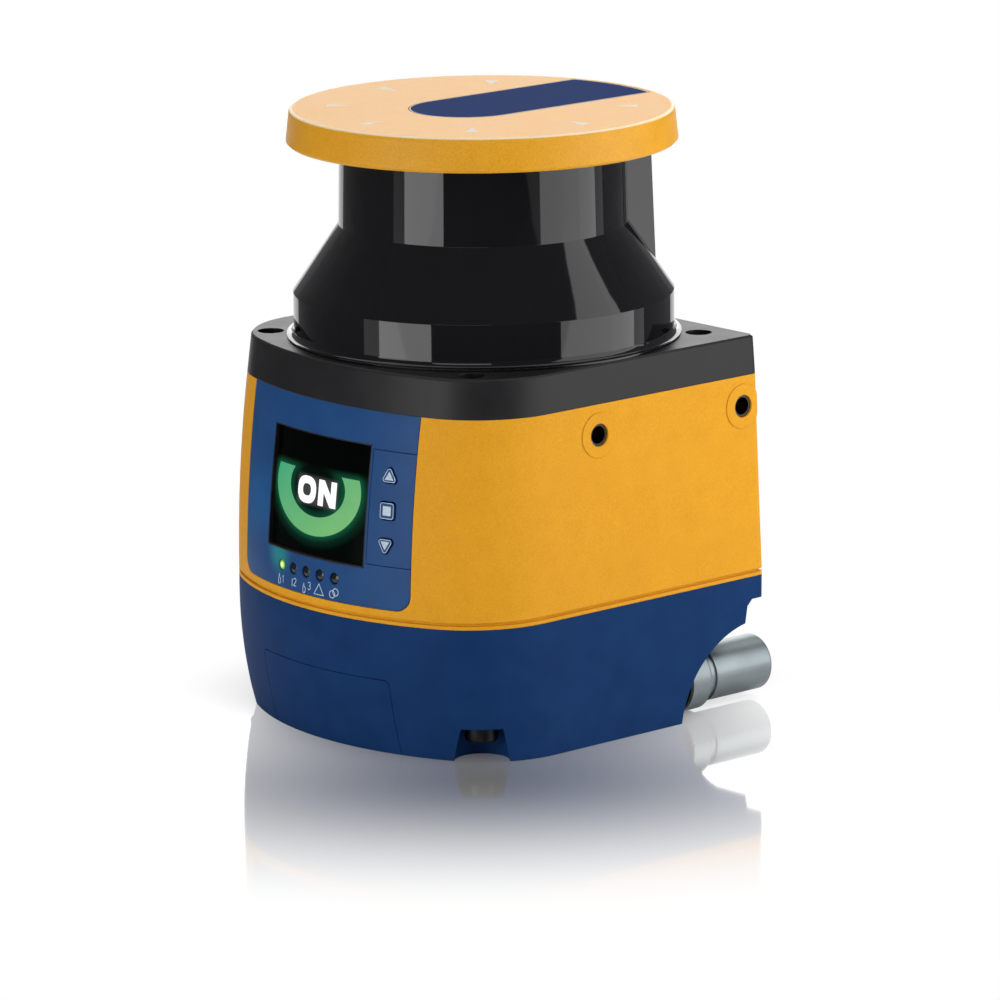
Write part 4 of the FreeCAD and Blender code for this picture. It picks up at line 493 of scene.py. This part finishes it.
def coverGlass(name, look):
    # anti-reflex acrylic over a black screen; the lit layer spreads soft halos in it
    material, tree, shader = startMaterial(name, {"Base Color": linear(look["body"]),
                                                  "Specular IOR Level": look["specular"]})
    coords = put(tree, "ShaderNodeTexCoord").outputs["Object"]
    # distance from the ring's middle in shares of its outer edge, over the span that the halo's ramp covers
    middle, size = ring["outer"]
    scale = tuple(1 / (look["span"] * v * mm) for v in size)
    scaled = put(tree, "ShaderNodeVectorMath",
                 {"operation": "MULTIPLY_ADD", 1: (scale[0], 0.0, scale[1]),
                  2: (-middle[0] * mm * scale[0], 0.0, -middle[1] * mm * scale[1])}, {0: coords})
    away = put(tree, "ShaderNodeVectorMath", {"operation": "LENGTH"}, {0: scaled.outputs["Vector"]})
    halo = put(tree, "ShaderNodeValToRGB",
               {"stops": [(place, linear(code)) for place, code in look["halo"]]},
               {"Fac": away.outputs["Value"]})
    # the halo ends where the ring does
    height = put(tree, "ShaderNodeSeparateXYZ", {}, {0: coords}).outputs["Z"]
    low, high = ((ring["ends"] + v) * mm for v in look["cut"])
    under = put(tree, "ShaderNodeMapRange",
                {"interpolation_type": "SMOOTHSTEP", "From Min": low, "From Max": high, "To Min": 1.0,
                 "To Max": 0.0}, {"Value": height})
    green = put(tree, "ShaderNodeVectorMath", {"operation": "SCALE"},
                {0: halo.outputs["Color"], "Scale": under.outputs["Result"]})
    # distance from the box that holds the letters
    boxWide, boxHigh = (v * mm for v in look["box"])
    shifted = put(tree, "ShaderNodeVectorMath",
                  {"operation": "MULTIPLY_ADD", 1: (1.0, 0.0, 1.0),
                   2: (-letters["middle"][0] * mm, 0.0, -letters["middle"][1] * mm)}, {0: coords})
    mirrored = put(tree, "ShaderNodeVectorMath", {"operation": "ABSOLUTE"}, {0: shifted.outputs["Vector"]})
    beyond = put(tree, "ShaderNodeVectorMath", {"operation": "SUBTRACT", 1: (boxWide, 0.0, boxHigh)},
                 {0: mirrored.outputs["Vector"]})
    outside = put(tree, "ShaderNodeVectorMath", {"operation": "MAXIMUM", 1: (0.0, 0.0, 0.0)},
                  {0: beyond.outputs["Vector"]})
    gap = put(tree, "ShaderNodeVectorMath", {"operation": "LENGTH"}, {0: outside.outputs["Vector"]})
    white = put(tree, "ShaderNodeMapRange",
                {"interpolation_type": "SMOOTHSTEP", "From Max": look["reach"] * mm, "To Min": look["white"],
                 "To Max": 0.0}, {"Value": gap.outputs["Value"]})
    both = put(tree, "ShaderNodeVectorMath", {"operation": "ADD"},
               {0: green.outputs["Vector"], 1: white.outputs["Result"]})
    smear = put(tree, "ShaderNodeTexNoise", {"Scale": 1 / (look["smear"] * mm), "Detail": habits["fine"]},
                {"Vector": coords})
    gloss = put(tree, "ShaderNodeMapRange", {"To Min": look["gloss"][0], "To Max": look["gloss"][1]},
                {"Value": smear.outputs["Fac"]})
    tree.links.new(both.outputs["Vector"], shader.inputs["Emission Color"])
    tree.links.new(gloss.outputs["Result"], shader.inputs["Roughness"])
    shader.inputs["Emission Strength"].default_value = 1.0
    return material


# black and nearly without reflection, with a green haze round the ring and a grey one round the letters
screenGlass = coverGlass("antiReflexAcrylic", {
    "body": "030404", "specular": 0.03, "gloss": (0.10, 0.16), "smear": 6.0, "cut": (-0.5, 2.0),
    "box": (6.7, 2.7), "reach": 1.6, "white": 0.05, "span": 2,
    "halo": [(0.0, "000000"), (0.22, "00100A"), (0.33, "0F4A33"), (0.5, "0F5238"), (0.56, "04261A"),
             (0.64, "000302")]})

# Dark frame that lines the display opening, from just under the panel's face down to the glass:
# four rounded corners, each with the straight side that follows it

bezel = {"half": 18.12, "bottom": 46.98, "top": 76.92, "corner": 0.6, "width": 0.34, "low": -1.18,
         "high": -0.06, "cornerSteps": 7, "sideSteps": 13}
cornerAt = [(1, -1, 270), (1, 1, 0), (-1, 1, 90), (-1, -1, 180)]
bezelMiddle = np.array([0.0, (bezel["bottom"] + bezel["top"]) / 2])
bezelReach = np.array([bezel["half"], (bezel["top"] - bezel["bottom"]) / 2]) - bezel["corner"]
bezelCorners = [arc(bezelMiddle + bezelReach * (a, b), bezel["corner"], turn, turn + 90, bezel["cornerSteps"])
                for a, b, turn in cornerAt]
bezelPath = np.vstack([
    np.vstack([corner[:-1], np.linspace(corner[-1], after[0], bezel["sideSteps"])[:-1]])
    for corner, after in zip(bezelCorners, bezelCorners[1:] + bezelCorners[:1])])
solid("displayBezel", [line(bezelPath, bezel["width"], bezel["low"], bezel["high"], onPanel, True)],
      bezelBlack)
print("display frame made")

# Cap: white pointers round the top, and a pale line round the inlaid label, painted as a highlight of its
# edge

pointer = {"radius": 35.4, "length": 6.4, "width": 3.2, "angles": (-135, -90, -45, 0, 45, 135, 180),
           "low": -0.05, "high": 0.002}
tips = np.array([(-pointer["length"] / 2, 0.0), (pointer["length"] / 2, -pointer["width"] / 2),
                 (pointer["length"] / 2, pointer["width"] / 2)]) + (pointer["radius"], 0.0)


def turnedOutline(outline, angle):
    c, s = math.cos(math.radians(angle)), math.sin(math.radians(angle))
    return outline @ np.array([[c, s], [-s, c]])


solid("capPointers", [plate(turnedOutline(tips, a), flatPlate(pointer), onCap) for a in pointer["angles"]],
      capInkAndLabelHighlight)

# pale line round the label: a painted highlight of the label's raised edge
paintedLabelEdgeHighlight = {"half": 14.0, "front": -5.0, "rim": 45.4, "width": 0.3, "low": -0.03, "high": 0.002,
             "frontSteps": 61, "rimSteps": 25}
rimAngle = math.degrees(math.asin(paintedLabelEdgeHighlight["half"] / paintedLabelEdgeHighlight["rim"]))
labelHighlightPath = np.vstack([
    arc((0.0, paintedLabelEdgeHighlight["front"]), paintedLabelEdgeHighlight["half"], 180, 360, paintedLabelEdgeHighlight["frontSteps"]),
    arc((0.0, 0.0), paintedLabelEdgeHighlight["rim"], 90 - rimAngle, 90 + rimAngle, paintedLabelEdgeHighlight["rimSteps"])])
solid("paintedLabelEdgeHighlight", [line(labelHighlightPath, paintedLabelEdgeHighlight["width"], paintedLabelEdgeHighlight["low"], paintedLabelEdgeHighlight["high"], onCap, True)],
      capInkAndLabelHighlight)
print("cap marks made")

# Keys: a pale line round each key's top face, a painted highlight of its raised edge, and a white sign on it;
# both ride on the key and lie in its top face, whose rim is found among the key's own points

keySigns = {"line": 0.16, "inset": 0.11, "low": -0.03, "high": 0.03, "sign": 1.36, "topWithin": 0.01,
            "apart": 0.02}
outward = np.array([0.263796, -0.957706, 0.114937])
keyRight = np.array([-outward[1], outward[0], 0.0]) / math.hypot(outward[0], outward[1])
keyUp = np.cross(outward, keyRight)
signShapes = {
    "up_key": np.array([(-0.95, -0.85), (0.95, -0.85), (0.0, 0.72)]),
    "enter_key": np.array([(-0.85, -0.85), (0.85, -0.85), (0.85, 0.85), (-0.85, 0.85)]),
    "down_key": np.array([(-0.95, 0.85), (0.95, 0.85), (0.0, -0.72)]),
}
for keyName, shape in signShapes.items():
    co = np.empty(3 * len(nodes[keyName].data.vertices))
    nodes[keyName].data.vertices.foreach_get("co", co)
    co = co.reshape(-1, 3) / mm
    lift = co @ outward
    top = co[lift > lift.max() - keySigns["topWithin"]]
    flat = np.stack([top @ keyRight, top @ keyUp], axis=1)
    middle = (flat.min(axis=0) + flat.max(axis=0)) / 2
    rim = flat[np.argsort(np.arctan2(flat[:, 1] - middle[1], flat[:, 0] - middle[0]))]
    rim = rim[np.linalg.norm(rim - np.roll(rim, 1, axis=0), axis=1) > keySigns["apart"]]
    rim = middle + (rim - middle) * (1 - keySigns["inset"] / 2)

    def onKey(a, b, h, base=lift.max()):
        return a[..., None] * keyRight + b[..., None] * keyUp + (base + h)[..., None] * outward

    solid(keyName + "_sign_and_rim_highlight", [
        plate(middle + shape * keySigns["sign"], flatPlate(keySigns), onKey),
        # pale line round the key's top face: a painted highlight of its raised edge
        line(rim, keySigns["line"], keySigns["low"], keySigns["high"], onKey, True),
    ], printedInkAndKeyRimHighlight, keyName)
print("key signs made")

# Status lights: small domes over the light guides, the first one lit

dome = {"first": -11.2, "pitch": 5.1, "lights": 5, "height": 42.9, "radius": 1.35, "rise": 0.42, "back": -0.5,
        "foot": 0.1, "rings": 9, "sides": 48}
lightX = [dome["first"] + dome["pitch"] * i for i in range(dome["lights"])]
bulge = np.linspace(0, math.pi / 2, dome["rings"])
domeProfile = [(0, dome["back"] - dome["foot"]), (1, dome["back"] - dome["foot"])] + [
    (math.cos(t), dome["back"] + dome["rise"] * math.sin(t)) for t in bulge]
domes = [plate(circle((x, dome["height"]), dome["radius"], dome["sides"]), domeProfile, onPanel)
         for x in lightX]
litAt = float(panelFace(np.array(dome["first"]), np.array(dome["height"])))
# yellow-hot in the middle, green at the rim
readyGlow = litEpoxy("castGreenEpoxy", {
    "body": "3F7A1E", "gloss": 0.2, "middle": (dome["first"], litAt, dome["height"]), "reach": 1.5,
    "core": 1.5, "rim": 0.12, "hot": "F4FF9A", "edge": "37A51E"})
solid("readyDome", domes[:1], readyGlow)
solid("statusDomes", domes[1:], lightSmoked)

# Printed signs under the lights: plain numbers, a hand, a plain triangle, linked rings

signs = {"height": 39.4, "line": 0.2, "low": -0.03, "high": 0.02, "ring": 0.9, "ringSides": 24}
one = [(-0.3, 0.55), (0.05, 0.9), (0.05, -0.9)]
two = np.vstack([arc((0.0, 0.45), 0.5, 160, -40, 12), [(-0.5, -0.9), (0.55, -0.9)]])
three = np.vstack([arc((0.0, 0.45), 0.45, 150, -80, 11), arc((0.0, -0.45), 0.5, 80, -150, 11)])
finger = [(-0.5, -1.3), (-0.55, 0.2), (-0.25, 1.1), (-0.05, 0.2), (0.35, 0.0), (0.4, -0.6), (0.1, -1.3)]
bar = [(0.0, 0.7), (0.0, -1.2)]
triangle = [(-1.7, -1.2), (1.7, -1.2), (0.0, 1.5)]
loop = circle((0.0, 0.0), signs["ring"], signs["ringSides"])
# number of the light above, shift sideways and upwards, stroke, and whether the stroke is closed
strokes = [
    (0, -0.6, 0.0, finger, True), (0, 0.9, 0.0, one, False),
    (1, 0.9, 0.2, two, False), (1, -0.2, 0.2, bar, False),
    (2, -0.3, -0.4, finger, True), (2, 1.5, 0.3, three, False),
    (3, 0.0, -0.1, triangle, True),
    (4, -0.45, -0.45, loop, True), (4, 0.65, 0.2, loop, True),
]
solid("statusSigns", [
    line(np.asarray(stroke, dtype=float) + (lightX[i] + sideways, signs["height"] + upwards),
         signs["line"], signs["low"], signs["high"], onPanel, closed)
    for i, sideways, upwards, stroke, closed in strokes], printedInkAndKeyRimHighlight)
print("lights and signs made")

# Flanged heads of the base screws that show in the front pockets: a disc with a rounded lower edge,
# P(k, t) = middle + share_k * radius * (cos t, sin t), at height_k

head = {"side": 41.4, "front": -38.4, "radius": 4.1, "sides": 48,
        "profile": [(0.0, 8.4), (1.0, 8.4), (1.0, 5.7), (0.97, 5.3), (0.88, 5.0), (0.72, 4.85), (0.0, 4.8)]}
solid("baseScrewHeads", [
    plate(circle((side, head["front"]), head["radius"], head["sides"]), head["profile"], onPlan)
    for side in (head["side"], -head["side"])], steelBlack)
print("screw heads made")

# Each CAD node takes its finish

finishes = {
    powderCoat: ["main_housing"],
    mouldedYellowWithRimHighlight: ["top_cap"],
    windowBlack: ["optical_window"],
    frameBlack: ["top_frame"],
    baseBlue: ["base", "service_cover"],
    panelLit: ["front_panel"],
    panelBlue: ["keypad_plate", "up_key", "enter_key", "down_key"],
    labelBlue: ["cap_label"],
    screenGlass: ["display_window"],
    rubberBlack: ["base_gasket", "window_seal", "connector_seal"],
    chipBlack: ["connector_insert", "display_module", "encoder_sensor", "key_switches", "main_board_chips",
                "optics_carrier", "stacking_connector"],
    boardGreen: ["detector_board", "display_board", "encoder_board", "interface_board", "main_board"],
    nickelTurned: ["connector_shell", "board_spacers", "service_port", "photodiode", "motor_bearings",
                   "motor_shaft"],
    insertBlack: ["mounting_inserts"],
    steelBlack: ["base_screws", "top_frame_screws"],
    alloyTurned: ["motor_body", "laser_module", "encoder_disc", "mirror_hub"],
    contactGold: ["connector_contacts"],
    mirrorSilver: ["scan_mirror"],
    lensClear: ["receiver_lens"],
    readyGlow: ["ready_light"],
    lightSmoked: ["status_lights"],
}
for material, names in finishes.items():
    for nodeName in names:
        nodes[nodeName].material_slots[0].material = material
bare = sorted(set(nodes) - {n for names in finishes.values() for n in names})
print("nodes without a finish:", bare)

# Stage in metres: polished white floor, a low soft box on the left and a tall one on the right, panels in
# front, behind and overhead, grey cards for the window to mirror

camera = {"azimuth": 48.74, "elevation": 12.99, "distance": 1.60766, "roll": 0.58, "lens": 230.76,
          "sensor": 36.0, "farthest": 50.0, "across": 3.52 * mm, "height": 51.86 * mm}
stage = {"radius": 6.0, "hub": 0.1, "rings": 25, "spokes": 96, "drop": 0.05 * mm, "colour": "F6F6F8",
         "gloss": 0.4, "polish": 0.06, "mirror": 0.86, "ahead": 0.075, "squeeze": 0.7, "fade": (0.0, 0.112),
         "clear": (0.035, 0.085), "clearMirrored": (0.075, 0.15), "side": (0.26, 1.2), "front": (0.34, 0.42),
         "sky": "FFFFFF", "skyLight": 0.2}
azimuth, elevation, roll = (math.radians(camera[k]) for k in ("azimuth", "elevation", "roll"))
ringsAt = np.concatenate([[0.0], np.geomspace(stage["hub"], stage["radius"], stage["rings"])])
spokesAt = np.radians(np.linspace(0, 360, stage["spokes"] + 1))
# flat disc: P(r, t) = (r cos t, r sin t, -drop), a hair under the feet
disc = np.stack([ringsAt[:, None] * np.cos(spokesAt), ringsAt[:, None] * np.sin(spokesAt),
                 np.full((len(ringsAt), len(spokesAt)), -stage["drop"])], axis=-1) / mm
floorPoints, floorQuads, floorTriangles = weld(disc)
floorMesh = bpy.data.meshes.new("studioFloor")
floorMesh.from_pydata((floorPoints * mm).tolist(), [], floorQuads.tolist() + floorTriangles.tolist())
floor = bpy.data.objects.new("studioFloor", floorMesh)
scene.collection.objects.link(floor)

# polished white sheet: it mirrors best in front of the object, close to the contact, and away from the
# object it is burnt out to pure white, to the camera all round and in reflections behind and beside
floorMaterial, tree, shader = startMaterial("whiteAcrylicSheet", {
    "Base Color": linear(stage["colour"]), "Roughness": stage["gloss"], "Specular IOR Level": 0.0})
ground = put(tree, "ShaderNodeTexCoord").outputs["Object"]
toward = (math.sin(azimuth), -math.cos(azimuth), 0.0)
toSide = (-toward[1], toward[0], 0.0)
ahead, aside = (put(tree, "ShaderNodeVectorMath", {"operation": "DOT_PRODUCT", 1: way},
                    {0: ground}).outputs["Value"] for way in (toward, toSide))
wide = put(tree, "ShaderNodeMath", {"operation": "ABSOLUTE"}, {0: aside}).outputs["Value"]
fromMiddle = put(tree, "ShaderNodeVectorMath", {"operation": "LENGTH"}, {0: ground}).outputs["Value"]
# distance from a spot in front of the object, shortened sideways
shift = put(tree, "ShaderNodeMath", {"operation": "SUBTRACT", 1: stage["ahead"]}, {0: ahead})
narrow = put(tree, "ShaderNodeMath", {"operation": "MULTIPLY", 1: stage["squeeze"]}, {0: aside})
flat = put(tree, "ShaderNodeCombineXYZ", {}, {"X": shift.outputs["Value"], "Y": narrow.outputs["Value"]})
near = put(tree, "ShaderNodeVectorMath", {"operation": "LENGTH"},
           {0: flat.outputs["Vector"]}).outputs["Value"]
# what each span of the stage is measured along, and its share at both ends
spans = {"clear": (fromMiddle, 0.0, 1.0), "clearMirrored": (fromMiddle, 0.0, 1.0), "side": (wide, 1.0, 0.0),
         "front": (ahead, 1.0, 0.0), "fade": (near, stage["mirror"], 0.0)}
share = {key: put(tree, "ShaderNodeMapRange",
                  {"interpolation_type": "SMOOTHSTEP", "From Min": stage[key][0], "From Max": stage[key][1],
                   "To Min": start, "To Max": end}, {"Value": amount}).outputs["Result"]
         for key, (amount, start, end) in spans.items()}
ray = put(tree, "ShaderNodeLightPath").outputs
seen = put(tree, "ShaderNodeMath", {"operation": "MULTIPLY"}, {0: ray["Is Camera Ray"], 1: share["clear"]})
mirrored = put(tree, "ShaderNodeMath", {"operation": "MAXIMUM"},
               {0: ray["Is Glossy Ray"], 1: ray["Is Transmission Ray"]})
for key in ("clearMirrored", "side", "front"):
    mirrored = put(tree, "ShaderNodeMath", {"operation": "MULTIPLY"},
                   {0: mirrored.outputs["Value"], 1: share[key]})
white = put(tree, "ShaderNodeMath", {"operation": "MAXIMUM"},
            {0: seen.outputs["Value"], 1: mirrored.outputs["Value"]})
shine = put(tree, "ShaderNodeEmission", {"Strength": 1.0})
lit = put(tree, "ShaderNodeMixShader", {},
          {0: white.outputs["Value"], 1: shader.outputs["BSDF"], 2: shine.outputs["Emission"]})
mirror = put(tree, "ShaderNodeBsdfGlossy", {"Roughness": stage["polish"]})
mixed = put(tree, "ShaderNodeMixShader", {},
            {0: share["fade"], 1: lit.outputs["Shader"], 2: mirror.outputs["BSDF"]})
tree.links.new(mixed.outputs["Shader"], tree.nodes["Material Output"].inputs["Surface"])
floorMesh.materials.append(floorMaterial)

right = Vector((math.cos(azimuth), math.sin(azimuth), 0.0))
back = Vector((math.sin(azimuth) * math.cos(elevation), -math.cos(azimuth) * math.cos(elevation),
               math.sin(elevation)))
up = back.cross(right)
lensData = bpy.data.cameras.new("photoCamera")
lensData.lens = camera["lens"]
lensData.sensor_width = camera["sensor"]
lensData.clip_end = camera["farthest"]
eye = bpy.data.objects.new("photoCamera", lensData)
scene.collection.objects.link(eye)
aim = right * camera["across"] + Vector((0.0, 0.0, camera["height"]))
columns = (right * math.cos(roll) - up * math.sin(roll), right * math.sin(roll) + up * math.cos(roll), back)
eyeTurn = Matrix(columns).transposed().to_4x4()
eye.matrix_world = Matrix.Translation(aim + back * camera["distance"]) @ eyeTurn
scene.camera = eye

# place of a lamp: turn from the camera's azimuth, distance, height of its middle, width, height, brightness
lamps = {
    "softBoxLeft": (-46.0, 0.38, 0.08, 0.22, 0.15, 3.6),
    "softBoxRight": (71.0, 0.38, 0.235, 0.38, 0.46, 2.2),
    "panelFront": (-14.0, 1.5, 1.1, 1.0, 0.8, 2.1),
    "panelBehind": (180.0, 2.2, 0.75, 1.4, 1.3, 2.2),
}
overhead = {"behind": 0.8, "height": 2.0, "width": 3.0, "depth": 2.4, "bright": 1.3}


def hangLamp(name, place, turn, width, tall, bright):
    # flat lamp; its power grows with its area, so that bright is the light of its face
    data = bpy.data.lights.new(name, "AREA")
    data.shape = "RECTANGLE"
    data.size, data.size_y = width, tall
    data.energy = bright * math.pi * width * tall
    lamp = bpy.data.objects.new(name, data)
    scene.collection.objects.link(lamp)
    lamp.location = place
    lamp.rotation_euler = turn
    lamp.visible_camera = False


for lampName, (turn, distance, height, width, tall, bright) in lamps.items():
    way = azimuth + math.radians(turn)
    hangLamp(lampName, (distance * math.sin(way), -distance * math.cos(way), height), (math.pi / 2, 0.0, way),
             width, tall, bright)
hangLamp("panelOver", (-overhead["behind"] * math.sin(azimuth), overhead["behind"] * math.cos(azimuth),
                       overhead["height"]), (0.0, 0.0, azimuth),
         overhead["width"], overhead["depth"], overhead["bright"])

# grey cards out of the picture that keep the glossy window dark beside the lamps:
# turn, distance, width, reach and tilt from the floor
cards = {"cardLeft": (-106.0, 0.21, 0.3, 0.3, 90.0), "cardRight": (128.0, 0.4, 0.3, 0.34, 90.0),
         "cardFloor": (0.0, 0.36, 1.2, 1.0, 0.05)}
# flock on card: dull mid grey without a gleam
cardGrey = grained("flockedGreyCard", {
    "dark": "7C7C7E", "light": "868688", "patch": 12.0, "gloss": (0.8, 0.9), "grain": 0.5, "depth": 0.05,
    "edge": 0.5, "specular": 0.05})
for cardName, (turn, distance, width, reach, tilt) in cards.items():
    way = azimuth + math.radians(turn)
    outside = np.array((math.sin(way), -math.cos(way), 0.0))
    along = np.array((math.cos(way), math.sin(way), 0.0))
    rise = math.cos(math.radians(tilt)) * outside + math.sin(math.radians(tilt)) * np.array((0.0, 0.0, 1.0))
    # flat sheet: P(u, v) = distance * outside + u * along + v * rise
    u, v = np.meshgrid((-width / 2, width / 2), (0.0, reach))
    sheet = distance * outside + u[..., None] * along + v[..., None] * rise
    cardMesh = bpy.data.meshes.new(cardName)
    cardMesh.from_pydata(sheet.reshape(-1, 3).tolist(), [], [(0, 2, 3, 1)])
    cardMesh.materials.append(cardGrey)
    card = bpy.data.objects.new(cardName, cardMesh)
    scene.collection.objects.link(card)
    card.visible_camera = False

world = bpy.data.worlds.new("studioWorld")
scene.world = world
world.use_nodes = True
sky = world.node_tree.nodes["Background"].inputs
sky["Color"].default_value = linear(stage["sky"])
sky["Strength"].default_value = stage["skyLight"]
scene.view_settings.view_transform = "Standard"
print("stage, camera and lamps set")
